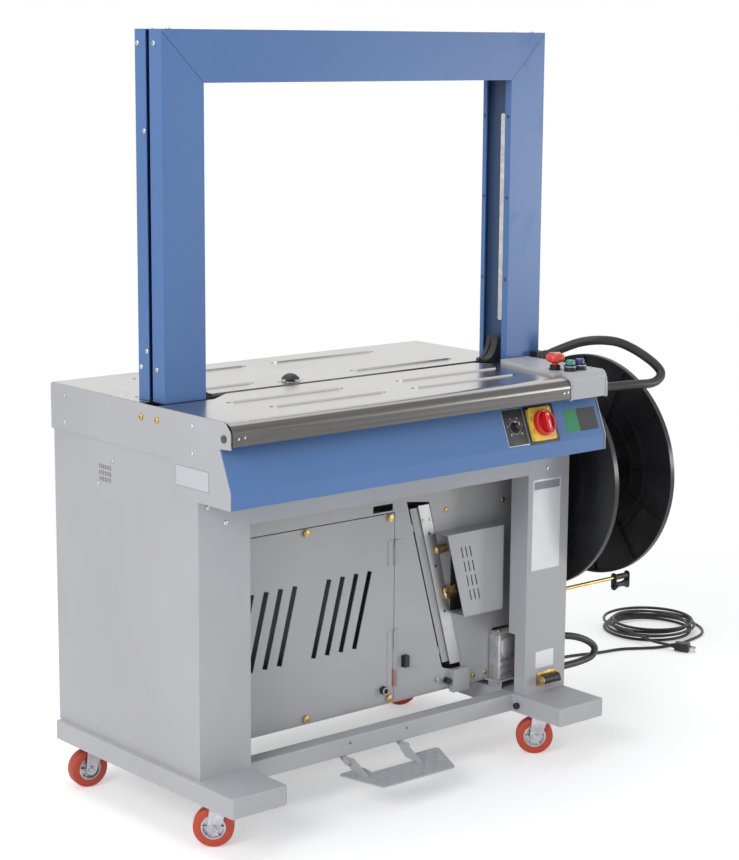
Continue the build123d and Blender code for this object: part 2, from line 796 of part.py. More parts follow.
# Sealing head under the slot between the tables, its cam shaft and its geared motor
head_half = 60.0
cam_z = 750.0
cam_shaft_radius = 10.0
cheek = 10.0
anvil_z = 800.0
head_parts = [
    block(-head_half, head_half, -60, 60, 690, 700),
    block(-head_half, -head_half + cheek, -45, 45, 700, anvil_z),
    block(head_half - cheek, head_half, -45, 45, 700, anvil_z),
    block(-head_half, head_half, -30, 30, anvil_z, anvil_z + 20),
    block(-45, 45, strap_slot_front + 2, strap_slot_rear - 2, anvil_z + 20, table_under - 2),
]
for y in (-60, 40):
    head_parts.append(block(inner_left, inner_right, y, y + 20, 680, 690))
head = joined(head_parts)
head_bore = [(-head_half - 1, 0, cam_z)]
nodes["sealing_head"] = drill(head, head_bore, right_way, cam_shaft_radius + FIT, 2 * head_half + 2)
shaft_start = -head_half - 22
cam_shaft = rod((shaft_start, 0, cam_z), right_way, 180, cam_shaft_radius)
cam_shaft = cam_shaft + rod((shaft_start, 0, cam_z), right_way, 10, 26)
for x, angle in ((-40, 0), (-8, 120), (24, 240)):
    offset = 8.0
    y = offset * math.cos(math.radians(angle))
    z = cam_z + offset * math.sin(math.radians(angle))
    cam_shaft = cam_shaft + rod((x, y, z), right_way, 16, 22)
nodes["cam_shaft"] = cam_shaft
gearbox = block(head_half, head_half + 50, -36, 36, cam_z - 36, cam_z + 36)
gearbox = gearbox + rod((head_half + 50, 0, cam_z), right_way, 130, 38)
gearbox = drill(gearbox, [(head_half - 1, 0, cam_z)], right_way, cam_shaft_radius + FIT, 48)
nodes["drive_motor"] = gearbox

# Arch: two covers with a slot between them, and the track frame inside
arch_bottom = table_top + GAP
track_web_inset = 13.0
track_thickness = 4.0


def arch_ring(outset, inset_width, y0, y1, bottom):
    """A U-shaped ring around the opening: outset from the opening, its width outwards."""
    inner_half = arch_half + outset
    outer_half = inner_half + inset_width
    inner_z = arch_inner_top + outset
    ring = block(-outer_half, outer_half, y0, y1, bottom, inner_z + inset_width)
    return ring - block(-inner_half, inner_half, y0 - 1, y1 + 1, bottom - 1, inner_z)


def arch_ring_to_outer(wall, y0, y1):
    """The outer wall of a cover."""
    ring = block(-arch_outer, arch_outer, y0, y1, arch_bottom, arch_top)
    return ring - block(
        -arch_outer + wall, arch_outer - wall, y0 - 1, y1 + 1, arch_bottom - 1, arch_top - wall
    )


def arch_cover(face_y, face_back, wall_y, return_y):
    """A cover: its face, its outer wall and its return around the opening."""
    face_range = (min(face_y, face_back), max(face_y, face_back))
    face = block(-arch_outer, arch_outer, *face_range, arch_bottom, arch_top)
    face = face - block(-arch_half, arch_half, -100, 100, arch_bottom - 1, arch_inner_top)
    wall_range = (min(face_y, wall_y), max(face_y, wall_y))
    return_range = (min(face_y, return_y), max(face_y, return_y))
    outer = arch_ring_to_outer(SHEET, *wall_range)
    inner = arch_ring(0, SHEET, *return_range, arch_bottom)
    return joined([face, outer, inner])


front_return_y = arch_front_y + arch_front_return
rear_return_y = arch_rear_y - arch_rear_return
front_cover = arch_cover(arch_front_y, arch_front_y + SHEET, arch_split_front_y, front_return_y)
rear_cover = arch_cover(arch_rear_y, arch_rear_y - SHEET, arch_split_rear_y, rear_return_y)
arch_side_points = [(-1, z) for z in arch_side_screws] + [(1, z) for z in arch_side_screws]
top_screw_places = [(sign * (arch_outer - 26), y) for sign in (-1, 1) for y in (-28.0, 28.0)]
rivet_heights = [table_top + arch_inner_height * share for share in (0.296, 0.587, 0.872)]
arch_screws = []
for sign, z in arch_side_points:
    for y in (-19.0, 34.0):
        arch_screws.append(((sign * arch_outer, y, z), (sign, 0, 0)))
for z in arch_gap_screws:
    for sign in (-1, 1):
        arch_screws.append(((sign * arch_outer, 14.0, z), (sign, 0, 0)))
for x, y in top_screw_places:
    arch_screws.append(((x, y, arch_top), up_way))
for z in rivet_heights:
    for sign in (-1, 1):
        for y in (arch_front_y + 9, arch_rear_y - 5.5):
            arch_screws.append(((sign * arch_half, y, z), (-sign, 0, 0)))


def clear_screws(shape, screws, radius, length=7.0):
    """The holes that a list of screws needs."""
    for place, direction in screws:
        out = Vector(*direction)
        shape = shape - rod(Vector(*place) - out * length, out, length + 1, radius)
    return shape


nodes["arch_front_cover"] = clear_screws(front_cover, [s for s in arch_screws if s[0][1] < 0], 2.0)
nodes["arch_rear_cover"] = clear_screws(rear_cover, [s for s in arch_screws if s[0][1] > 0], 2.0)

inner_face_y = arch_front_y + SHEET
track = arch_ring(track_web_inset, track_thickness, inner_face_y, -inner_face_y, 795.0)
guide_front, guide_rear = front_return_y + GAP, front_return_y + 13.0
guide_low, guide_high = table_top + 88, arch_inner_top - 70
guide_bars = []
for sign in (-1, 1):
    x0, x1 = sorted((sign * (arch_half + 1), sign * (arch_half + track_web_inset)))
    bar = block(x0, x1, guide_front, guide_rear, guide_low, guide_high)
    guide_bars.append(fillet(bar.edges().filter_by(Axis.X), 5))
top_bar_z0, top_bar_z1 = arch_inner_top + 1, arch_inner_top + track_web_inset
top_bar = block(-arch_half + 70, arch_half - 70, guide_front, guide_rear, top_bar_z0, top_bar_z1)
guide_bars.append(fillet(top_bar.edges().filter_by(Axis.Z), 5))
foot_plates = []
for sign in (-1, 1):
    side_inner = inner_left if sign < 0 else inner_right
    foot_front = -60.0 if sign < 0 else box_rear_y + 2
    x0, x1 = sorted((side_inner, sign * (arch_half + track_web_inset)))
    foot_plates.append(block(x0, x1, foot_front, 4, 795, 803))
    x0, x1 = sorted((side_inner, side_inner - sign * 6))
    foot_plates.append(block(x0, x1, foot_front, 4, 795, 838))
track = joined([track, *guide_bars, *foot_plates])
for sign in (-1, 1):
    start = inner_left - 1 if sign < 0 else inner_right + 1
    track = drill(track, [(start, y, z) for y, z in upper_plate_bolts], (-sign, 0, 0), 3.0, 8)
nodes["arch_track"] = track

# Rear table: plate with notches for the arch, folded rims and raised ribs
rib_length, rib_width, rib_height = 275.0, 12.0, 3.0
rear_ribs = [(body_left + 32, 62), (54, 62), (body_left + 154, 250), (-11, 250)]
front_ribs = [(body_left + 132, -100), (40, -100), (body_left + 169, -187), (5.5, -187)]
flat_screws = [(x, y) for x in (body_left + 26, body_right - 20.5) for y in (285, 91)]


def rib(x, y):
    """One raised rib with pointed ends, standing on a table."""
    half = rib_width / 2
    points = [
        (x, y),
        (x + half, y - half),
        (x + rib_length - half, y - half),
        (x + rib_length, y),
        (x + rib_length - half, y + half),
        (x + half, y + half),
    ]
    face = make_face(Polyline(*points, close=True))
    return extrude(Plane.XY.offset(table_top) * face, rib_height, taper=38)


table_left = body_left + GAP
table_right = body_right - GAP
notch_in, notch_out = arch_half - 2, arch_outer + 2
notch_rear = arch_rear_y + 2
rim = 15.0
rear_plate = plate_xy(
    [
        (table_left, strap_slot_rear),
        (-notch_out, strap_slot_rear),
        (-notch_out, notch_rear),
        (-notch_in, notch_rear),
        (-notch_in, strap_slot_rear),
        (notch_in, strap_slot_rear),
        (notch_in, notch_rear),
        (table_right, notch_rear),
        (table_right, table_rear),
        (table_left, table_rear),
    ],
    table_under,
    table_top,
)
rim_left, rim_right = inner_left + GAP, inner_right - GAP
rim_rear = body_rear - SHEET - GAP
rims = [
    block(-notch_in, notch_in, strap_slot_rear, strap_slot_rear + SHEET, table_under - rim, table_under),
    block(table_left, table_right, table_rear - SHEET, table_rear, table_under - rim, table_under),
    block(rim_left, rim_left + SHEET, notch_rear, rim_rear, table_under - rim, table_under),
    block(rim_right - SHEET, rim_right, notch_rear, rim_rear, table_under - rim, table_under),
]
rear_table = joined([rear_plate, *rims, *[rib(x, y) for x, y in rear_ribs]])
for x, y in flat_screws:
    rear_table = rear_table - rod((x, y, table_under - 1), up_way, 4, 2.0)
    rear_table = rear_table - Pos(x, y, table_top - 0.5) * Cone(3.5, 4.5, 1.0)
ball_stem = 9.0
rear_table = rear_table - rod((*ball_place, table_under - 1), up_way, 4, ball_stem + 0.5)
nodes["rear_table"] = rear_table

# Front table: plate, rolled front lip, end brackets and hinge pins
fence_front = (box_left - 24, -262.0)
fence_rear = (box_left + 27, box_rear_y)
lip_top_y = lip_front_y + lip_radius
front_plate = plate_xy(
    [
        (table_left, lip_top_y),
        (lip_right, lip_top_y),
        (lip_right, fence_front[1] - 2),
        (fence_front[0] - 2, fence_front[1] - 2),
        (fence_front[0] - 2, -236),
        (fence_front[0] + 10.5, -206),
        (fence_rear[0] - 2.5, box_rear_y),
        (arch_half - 35, box_rear_y),
        (arch_half - 70, strap_slot_front),
        (-arch_half + 70, strap_slot_front),
        (-arch_half + 15, box_rear_y),
        (table_left, box_rear_y),
    ],
    table_under,
    table_top,
)


def lip_solid(x0, x1, inset, rear):
    """The filled shape of the rolled lip, inset from its outer face."""
    solid = block(x0, x1, lip_front_y + inset, rear, lip_bottom, table_top - inset)
    front_edge = solid.edges().filter_by(Axis.X).group_by(Axis.Z)[-1].sort_by(Axis.Y)[0]
    return fillet(front_edge, lip_radius - inset)


lip = lip_solid(table_left, lip_right, 0, lip_top_y + 0.5)
lip = lip - lip_solid(table_left - 1, lip_right + 1, SHEET, lip_top_y + 1)
lip_return = block(table_left, lip_right, lip_front_y, lip_front_y + 10, lip_bottom, lip_bottom + SHEET)
bracket_rear = table_hinge[0] + 14
hinge_pin = 3.0
left_bracket_x, right_bracket_x = inner_left + 1.0, box_left - 6.0
hinge_y, hinge_z = table_hinge
right_bracket = lip_solid(right_bracket_x, right_bracket_x + 3, 0.5, hinge_y) - block(
    right_bracket_x - 1, right_bracket_x + 4, lip_front_y, hinge_y + 1, lip_bottom - 1, hinge_z - 3.5
)
boss = rod((right_bracket_x, *table_hinge), right_way, 3, 3.8)
brackets = [lip_solid(left_bracket_x, left_bracket_x + 3, 0.5, bracket_rear), right_bracket, boss]
left_plate_face = body_left - SHEET
left_pin_start = (left_bracket_x + 1, *table_hinge)
pins = [
    rod(left_pin_start, left_way, left_pin_start[0] - left_plate_face + GAP, hinge_pin),
    rod((left_plate_face - GAP, *table_hinge), left_way, 3, 7),
    rod((right_bracket_x + 2, *table_hinge), right_way, box_left + 4 - right_bracket_x, hinge_pin),
]
front_table = joined([front_plate, lip, lip_return, *brackets, *pins, *[rib(x, y) for x, y in front_ribs]])
nodes["front_table"] = front_table

# Control box at the right end of the front table
box_outline = [
    (box_left, lip_front_y),
    (box_left, fence_front[1]),
    fence_front,
    fence_rear,
    (box_right, box_rear_y),
    (box_right, lip_front_y),
]
control_box = plate_xy(box_outline, box_bottom, box_top)
front_top = control_box.edges().filter_by(Axis.X).group_by(Axis.Z)[-1].sort_by(Axis.Y)[0]
control_box = fillet(front_top, 15)
box_inner = [
    (box_left + SHEET, lip_front_y + SHEET),
    (box_left + SHEET, fence_front[1] + SHEET),
    (fence_front[0] + 3, fence_front[1] + SHEET),
    (fence_rear[0] + SHEET, box_rear_y - SHEET),
    (box_right - SHEET, box_rear_y - SHEET),
    (box_right - SHEET, lip_front_y + SHEET),
]
hollow = plate_xy(box_inner, box_bottom - 1, box_top - SHEET)
hollow_edge = hollow.edges().filter_by(Axis.X).group_by(Axis.Z)[-1].sort_by(Axis.Y)[0]
control_box = control_box - fillet(hollow_edge, 13)
flange_points = [
    (lip_front_y - 2, box_bottom - 2),
    (lip_front_y + 12, box_bottom - 2),
    (lip_front_y + 12, box_bottom),
    (lip_front_y, box_bottom),
    (lip_front_y, box_top - 15),
    (lip_front_y - 2, box_top - 15),
]
for x0, x1 in ((box_left, box_left + SHEET), (box_right - SHEET, box_right)):
    control_box = control_box + plate_yz(flange_points, x0, x1)
spacers = [
    rod((box_right, -230, 815), right_way, body_right - box_right, 8),
    rod((box_right, -100, 815), right_way, inner_right - box_right, 8),
]
fence_foot = block(
    fence_front[0] - 5, box_left, fence_front[1] - 1, fence_front[1] + 37, box_bottom - 1, box_bottom + 11
)
control_box = joined([control_box - fence_foot, *spacers])
control_box = drill(control_box, [(box_left - 1, *table_hinge)], right_way, hinge_pin + FIT, 4)
button_stem, estop_stem = 5.0, 7.0
for place, radius in ((start_place, 6.0), (feed_place, 6.0), (estop_place, 8.0)):
    control_box = drill(control_box, [(*place, box_top - 4)], up_way, radius, 6)
nodes["control_box"] = control_box

# Buttons with their collars
collar_radius, cap_radius, collar_height = 13.0, 9.6, 14.0
neck_radius, neck_height = 11.0, 10.0
collars = []
for place in (start_place, feed_place):
    base = (*place, box_top)
    collar = rod(base, up_way, collar_height, collar_radius)
    collar = chamfer(collar.edges().sort_by(Axis.Z)[-1], 1)
    collar = drill(collar, [(*place, box_top + 3)], up_way, cap_radius + FIT, collar_height)
    collars.append(drill(collar, [(*place, box_top - 1)], up_way, button_stem + FIT, 6))
neck = rod((*estop_place, box_top), up_way, neck_height, neck_radius, estop_stem + FIT)
nodes["button_collars"] = group([*collars, neck])


def push_button(place):
    """A capped button that slides in its collar."""
    bottom = box_top + 3 + button_travel + GAP
    cap = rod((*place, bottom), up_way, box_top + 23 - bottom, cap_radius)
    cap = fillet(cap.edges().sort_by(Axis.Z)[-1], 2.5)
    return cap + rod((*place, bottom - 18), up_way, 18.5, button_stem)


nodes["start_button"] = push_button(start_place)
nodes["feed_button"] = push_button(feed_place)
head_z = box_top + neck_height + estop_travel + GAP
estop_head = rod((*estop_place, head_z), up_way, 21, 20)
estop_head = chamfer(estop_head.edges().sort_by(Axis.Z)[0], 7)
estop_head = fillet(estop_head.edges().sort_by(Axis.Z)[-1], 9)
estop_shaft = rod((*estop_place, head_z - 26), up_way, 26.5, estop_stem)
nodes["estop_button"] = estop_head + estop_shaft

# Ball switch on the rear table
ball_bottom = table_top + ball_travel + GAP
dome = Pos(0, 0, 0) * Sphere(22)
dome = dome - block(-30, 30, -30, 30, -30, 11)
ball = Pos(*ball_place, ball_bottom - 11) * dome
nodes["ball_switch"] = ball + rod((*ball_place, ball_bottom - 20), up_way, 20.5, ball_stem - FIT)

# Pedal: tread plate with ears and pins
tread_middle = -39.0
tread_rear_y, tread_front_y = -172.0, -270.0
tread_rear_z, tread_front_z = 68.0, 60.0
tread_plate = plate_xy(
    [
        (tread_middle - 136, tread_rear_y),
        (tread_middle - 96, tread_front_y),
        (tread_middle + 96, tread_front_y),
        (tread_middle + 136, tread_rear_y),
    ],
    0,
    3,
)
tread_plate = fillet(tread_plate.edges().filter_by(Axis.Z), 7)
tread_plate = tread_plate - block(-107, 9, tread_rear_y - 28, tread_rear_y + 5, -1, 5)
tread_tilt = math.degrees(math.atan2(tread_rear_z - tread_front_z, tread_rear_y - tread_front_y))
tread_plate = Rot(tread_tilt, 0, 0) * Pos(0, -tread_rear_y, 0) * tread_plate
tread_plate = Pos(0, tread_rear_y, tread_rear_z) * tread_plate
ear_thickness = 4.0
pedal_parts = [tread_plate]
for lug_x, side in zip(lug_places, (1, -1)):
    near = lug_x + side * (lug_thickness / 2 + 0.5)
    far = near + side * ear_thickness
    ear = plate_yz(
        [
            (tread_rear_y - 50, 65.5),
            (tread_rear_y - 2, 69),
            (pedal_hinge[0] + 9, pedal_hinge[1] - 6),
            (pedal_hinge[0] + 9, pedal_hinge[1] + 5),
            (pedal_hinge[0] - 9, pedal_hinge[1] + 7),
            (tread_rear_y - 50, 72),
        ],
        min(near, far),
        max(near, far),
    )
    pin_start = lug_x + side * (lug_thickness / 2 + 2)
    pin = rod((pin_start, *pedal_hinge), (-side, 0, 0), lug_thickness + 2.5, pedal_pin_radius)
    head_start = lug_x - side * (lug_thickness / 2 + 0.5)
    pin_head = rod((head_start, *pedal_hinge), (-side, 0, 0), 4, 7)
    pedal_parts.extend([ear, pin, pin_head])
nodes["pedal"] = joined(pedal_parts)

# Reel bracket with its fixed shaft, and the pivot of the guide arm
bracket_face = body_right
shaft_end = reel_outer_x + 18
arm_pivot_radius = 6.0
arm_eye_x0, arm_eye_x1 = bracket_face + 11.5, bracket_face + 23.5
shaft_start = (bracket_face + 4, reel_y, reel_z)
reel_mount = joined(
    [
        block(bracket_face, bracket_face + 4, reel_y - 60, reel_y + 60, reel_z - 60, reel_z + 60),
        rod(shaft_start, right_way, 30, 30),
        rod(shaft_start, right_way, shaft_end - shaft_start[0], reel_shaft_radius),
        rod((shaft_end - 9, reel_y, reel_z), right_way, 9, 20),
    ]
)
reel_mount = drill(reel_mount, [(bracket_face - 1, y, z) for y, z in reel_bolts], right_way, 4.0, 6)
pivot_start = (bracket_face + 3, *guide_arm_hinge)
arm_mount = joined(
    [
        block(
            bracket_face,
            bracket_face + 4,
            guide_arm_hinge[0] - 20,
            guide_arm_hinge[0] + 20,
            guide_arm_hinge[1] - 30,
            guide_arm_hinge[1] + 30,
        ),
        rod(pivot_start, right_way, arm_eye_x1 + 5 - pivot_start[0], arm_pivot_radius),
        rod(pivot_start, right_way, arm_eye_x0 - GAP - pivot_start[0], 11),
        rod((arm_eye_x1 + GAP, *guide_arm_hinge), right_way, 4, 10),
    ]
)
nodes["reel_bracket"] = group([reel_mount, arm_mount])

# Guide arm and its roller
arm_rod_radius = 4.0
arm_x = (arm_eye_x0 + arm_eye_x1) / 2
rod_y, rod_z = guide_rod_place
arm_path = FilletPolyline(
    (arm_x, guide_arm_hinge[0] - 9, guide_arm_hinge[1] - 3),
    (arm_x, rod_y, rod_z),
    (reel_outer_x + 6, rod_y, rod_z),
    radius=16,
)
arm_section = Plane(origin=arm_path @ 0, z_dir=arm_path % 0) * Circle(arm_rod_radius)
arm = sweep(arm_section, arm_path)
eye = rod((arm_eye_x0, *guide_arm_hinge), right_way, arm_eye_x1 - arm_eye_x0, 12)
yoke_low = rod_z - 29
roller_z = rod_z - 18
yoke_parts = [arm, eye]
yoke_x = reel_outer_x - 42
for x in (yoke_x, reel_outer_x):
    yoke_parts.append(block(x, x + 3, rod_y - 8, rod_y + 8, yoke_low, rod_z + 10))
yoke_parts.append(rod((yoke_x, rod_y, roller_z), right_way, 45, 3))
arm_body = joined(yoke_parts)
arm_body = drill(
    arm_body, [(arm_eye_x0 - 1, *guide_arm_hinge)], right_way, arm_pivot_radius + FIT, 14
)
nodes["guide_arm"] = arm_body
roller_start, roller_end = yoke_x + 3 + GAP, reel_outer_x - GAP
roller_profile = make_face(
    [
        Line((3 + FIT, roller_start), (10, roller_start)),
        ThreePointArc((10, roller_start), (6, (roller_start + roller_end) / 2), (10, roller_end)),
        Line((10, roller_end), (3 + FIT, roller_end)),
        Line((3 + FIT, roller_end), (3 + FIT, roller_start)),
    ]
)
roller_plane = Plane(origin=(0, rod_y, roller_z), x_dir=(0, 0, 1), z_dir=(0, 1, 0))
nodes["guide_roller"] = revolve(
    roller_plane * roller_profile, Axis((0, rod_y, roller_z), (1, 0, 0))
)

# Reel: two flanges and the core, turning on the fixed shaft
hub_tube_radius = 20.0
flange_step = 6.0


def ring(x0, x1, outer, inner):
    """A ring about the reel's axis."""
    return rod((x0, reel_y, reel_z), right_way, x1 - x0, outer, inner)


def flange_disc(x0):
    """The disc of a flange with its rim lip."""
    disc = ring(x0, x0 + flange_wall, reel_radius, hub_tube_radius + FIT)
    return disc + ring(x0 - flange_step, x0 + flange_wall + 2, reel_radius, reel_radius - 5)


inner_flange = flange_disc(reel_inner_x)
for radius in (140.0, 150.0, 183.0):
    inner_flange = inner_flange + ring(reel_inner_x - 4, reel_inner_x, radius, radius - 4)
for angle in (146.0, 326.0):
    y = reel_y + 146 * math.cos(math.radians(angle + 86))
    z = reel_z + 146 * math.sin(math.radians(angle + 86))
    inner_flange = inner_flange + rod((reel_inner_x - 9, y, z), right_way, 9, 7)
nodes["reel_inner_flange"] = inner_flange
outer_flange = flange_disc(reel_outer_x)
for radius in (130.0, 167.0):
    outer_flange = outer_flange + ring(reel_outer_x - 5, reel_outer_x, radius, radius - 3)
rib_count = 12
for i in range(rib_count):
    angle = 360 / rib_count * i - 6
    spoke = block(reel_outer_x - 5, reel_outer_x, 104, reel_radius - 4, -1.5, 1.5)
    outer_flange = outer_flange + Pos(0, reel_y, reel_z) * Rot(angle, 0, 0) * spoke
nodes["reel_outer_flange"] = outer_flange

core_x0, core_x1 = reel_inner_x + flange_wall, reel_outer_x
core_wall = 3.0
core = ring(core_x0 - flange_wall, core_x1 + flange_wall, hub_tube_radius, reel_shaft_radius + FIT)
segment_span = 60.0
for i in range(4):
    sector = [(0, 0)]
    for step in range(5):
        a = math.radians(90 * i + 45 - segment_span / 2 + segment_span / 4 * step)
        sector.append((180 * math.cos(a), 180 * math.sin(a)))
    wedge = make_face(Polyline(*sector, close=True))
    wedge = extrude(Plane.YZ.offset(core_x0) * wedge, core_x1 - core_x0)
    shell = ring(core_x0, core_x1, reel_core_radius, reel_core_radius - core_wall)
    core = core + (shell & (Pos(0, reel_y, reel_z) * wedge))
    arm_bar = block(core_x0 + 20, core_x0 + 45, hub_tube_radius - 1, reel_core_radius - 1, -4, 4)
    far_bar = block(core_x1 - 45, core_x1 - 20, hub_tube_radius - 1, reel_core_radius - 1, -4, 4)
    for bar in (arm_bar, far_bar):
        core = core + Pos(0, reel_y, reel_z) * Rot(90 * i + 45, 0, 0) * bar
core = core - ring(core_x0 - 10, core_x1 + 10, reel_shaft_radius + FIT, 0)
nodes["reel_core"] = core

# Conduits on the right side
conduit_radius, small_conduit_radius = 10.0, 8.0
gland_corner = Vector(arch_outer - 13, -57, table_top + 1)
gland_exit = Vector(arch_outer + 1, -67.5, table_top + 8)
gland_way = (gland_exit - gland_corner).normalized()
upper_start = gland_exit + gland_way * GAP
upper_fitting_z = table_top - 46
upper_bends = [
    (75.1, -215, -47.5),
    (148.4, -225, -47.8),
    (200, -228, -49.3),
    (229.5, -225, -41),
    (238.5, -219, -29),
    (230.5, -211, -14),
    (210, -200, 4.5),
    (182.4, -185, 24),
    (154.6, -165, 38),
    (120.7, -140, 42),
    (92.1, -112, 36.2),
    (60.9, -85, 21),
]
upper_route = [
    (body_right + SHEET + 10 + GAP, -210, upper_fitting_z),
    *[(body_right + out, y, table_top + above) for out, y, above in upper_bends],
    tuple(upper_start),
]
lower_gland_length = 39.5
lower_bends = [
    (lower_gland_length + GAP, -120, 228),
    (84.5, -126, 219),
    (122.5, -131, 203),
    (142.5, -134, 184),
    (129.5, -137, 168),
    (89.5, -139, 163),
    (44.5, -141, 163),
    (GAP, -142, 163),
]
lower_route = [(body_right + out, y, z) for out, y, z in lower_bends]


def hose(points, radius, start_way, end_way):
    """A round hose along a smooth route."""
    path = Spline(*points, tangents=(start_way, end_way))
    return sweep(Plane(origin=path @ 0, z_dir=path % 0) * Circle(radius), path)


upper_hose = hose(upper_route, conduit_radius, (1, 0, 0), tuple(-gland_way))
lower_hose = hose(lower_route, small_conduit_radius, (1, 0, 0), (-1, 0, 0))
nodes["conduits"] = group([upper_hose, lower_hose])

# Black fittings: glands, chutes, switch housing, stops and small blocks
chute_z = table_top
chutes = []
for sign in (-1, 1):
    outline = [(sign * (arch_half - 0.5), chute_z), (sign * (arch_half - 34), chute_z)]
    steps = 8
    for i in range(steps + 1):
        a = math.radians(90 * i / steps)
        outline.append(
            (sign * (arch_half - 34 + 31 * math.sin(a)), chute_z + 4 + 49 * (1 - math.cos(a)))
        )
    outline.append((sign * (arch_half - 0.5), chute_z + 53))
    chutes.append(plate_xz(outline, strap_slot_rear, strap_slot_rear + 11))
    chutes.append(plate_xz(outline, strap_slot_front - 5, strap_slot_rear - 4.0))
chute_sets = []
for pair_start in (0, 2):
    link_sign = -1 if pair_start == 0 else 1
    link_x = sorted((link_sign * (arch_half - 0.5), link_sign * (arch_half - 3)))
    link = block(*link_x, strap_slot_front - 5, strap_slot_rear + 11, chute_z + 10, chute_z + 53)
    chute_sets.append(joined([chutes[pair_start], chutes[pair_start + 1], link]))
switch_housing = rod((*ball_place, 812), up_way, table_under - 812, 15)
switch_housing = drill(switch_housing, [(*ball_place, 815)], up_way, ball_stem, 40)
gland_block = block(
    arch_outer - 26, arch_outer - 2, -66, arch_front_y, table_top - 9, table_top + 17
) + rod(gland_corner, gland_way, (gland_exit - gland_corner).length, 12)
lower_gland = rod((body_right, -120, 228), right_way, lower_gland_length, 12)
cord_gland = rod((body_right, 255, 175), right_way, 16, 9)
nodes["black_fittings"] = group(
    [
        *chute_sets,
        switch_housing,
        gland_block,
        lower_gland,
        cord_gland,
        rod((body_right + SHEET, -210, upper_fitting_z), right_way, 10, 13),
        block(217, 263, panel_y - 14, panel_y, 144, 194),
        rod((206, panel_y, 171), front_way, 12, 7),
        block(79, 92, panel_y - 12, panel_y, 225, 250),
        rod((right_foot_x, -171, 113), left_way, 8, 7),
    ]
)

# Roller in its brass bracket on the right leg
roller_x0, roller_x1 = body_right - 82.5, body_right - 34.5
leg_roller_place = (leg_front_y - 14, 165.0)
bracket_x0, bracket_x1 = roller_x0 - 2.5, roller_x1 + 2.5
roller_bracket = joined(
    [
        block(bracket_x0, bracket_x1, leg_front_y - 2, leg_front_y, 150, 180),
        block(bracket_x0, bracket_x0 + 2, leg_front_y - 24, leg_front_y, 155, 175),
        block(bracket_x1 - 2, bracket_x1, leg_front_y - 24, leg_front_y, 155, 175),
        rod((bracket_x0, *leg_roller_place), right_way, bracket_x1 - bracket_x0, 3),
    ]
)
nodes["leg_roller"] = rod(
    (roller_x0, *leg_roller_place), right_way, roller_x1 - roller_x0, 9, 3 + FIT
)

# Screws
right_plate_face = body_right + SHEET
pale_places = [((left_plate_face, y, z), left_way) for y, z in upper_plate_screws]
pale_places += [((right_plate_face, y, z), right_way) for y, z in upper_plate_screws]
pale_places += [((body_left, y, z), left_way) for y, z in grille_screws]
pale_places += [((x, leg_front_y, z), front_way) for x, z in leg_screws_left + leg_screws_right]
pale_places += arch_screws
pale = [screw(place, way, nickel_head, nickel_height) for place, way in pale_places]
pale += [screw((x, feed_front_y, z), front_way, 3.5, 2, 1.6, 4) for x, z in rail_screws]
pale.append(rod((181, panel_y, 178), front_way, 5, 6))
for x, y in flat_screws:
    head = Pos(x, y, table_top - 0.55) * Cone(3.4, 4.3, 0.9)
    pale.append(head + rod((x, y, table_under - 6), up_way, 7.4, 1.9))
for y, z in reel_bolts:
    bolt_head = rod((bracket_face + 4, y, z), right_way, 6, 8)
    pale.append(bolt_head + rod((inner_right - 8, y, z), right_way, 16, 3.9))
nodes["pale_screws"] = group(pale)
brass = []
for y, z in upper_plate_bolts:
    brass.append(screw((left_plate_face, y, z), left_way, 6.5, 4, 2.9, 12))
    brass.append(screw((right_plate_face, y, z), right_way, 6.5, 4, 2.9, 6))
for x, z in tray_screws + header_screws:
    brass.append(screw((x, panel_y, z), front_way, brass_head, brass_height, 1.9, 6))
for z0, z1, reach in ((456.0, 476.0, 24.0), (352.0, 382.0, 24.0)):
    tab_back = unit_front - GAP
    tab = slanted(half_rail - 8, half_rail + reach, tab_back - 2, tab_back, z0, z1)
    brass.append(tab + slanted(half_rail - 8, half_rail, tab_back, feed_front_y, z0, z1))
brass.append(roller_bracket)
nodes["brass_hardware"] = group(brass)

# Mains cord: free stretch, coil and plug
heading = math.radians(coil_heading)
along, across = (math.cos(heading), math.sin(heading)), (-math.sin(heading), math.cos(heading))


def coil_point(a, b, z):
    """A point of the coil's own frame in the machine's frame."""
    x = coil_centre[0] + a * along[0] + b * across[0]
    y = coil_centre[1] + a * along[1] + b * across[1]
    return Vector(x, y, z)


def coil_way(a, b, c=0.0):
    """A direction of the coil's own frame in the machine's frame."""
    return Vector(
        a * along[0] + b * across[0], a * along[1] + b * across[1], c
    ).normalized()


def cord_tube(path):
    """The cord's round section along a path."""
    return sweep(Plane(origin=path @ 0, z_dir=path % 0) * Circle(cord_radius), path)


# Coil: four layers that spiral in and out, each arc between two knots made of two tangent arcs
knot_count = coil_layers * coil_arcs_per_layer
coil_span = coil_end_angle - coil_start_angle


def coil_state(index):
    """The radius, its rate per radian, the height and its rate at a knot of the coil."""
    position = index / coil_arcs_per_layer
    layer = min(int(position), coil_layers - 1)
    part = position - layer
    layer_angle = math.radians(coil_span / coil_layers)
    change = coil_radii[layer + 1] - coil_radii[layer]
    radius = coil_radii[layer] + change * part
    rate = change / layer_angle
    height = cord_z + coil_layer_step * layer
    climb = 0.0
    if index % coil_arcs_per_layer == 0 and 0 < index < knot_count:
        rate = 0.0
        height = cord_z + coil_layer_step * (index // coil_arcs_per_layer - 0.5)
        climb = coil_layer_step / (2 * layer_angle / coil_arcs_per_layer)
    return radius, rate, height, climb


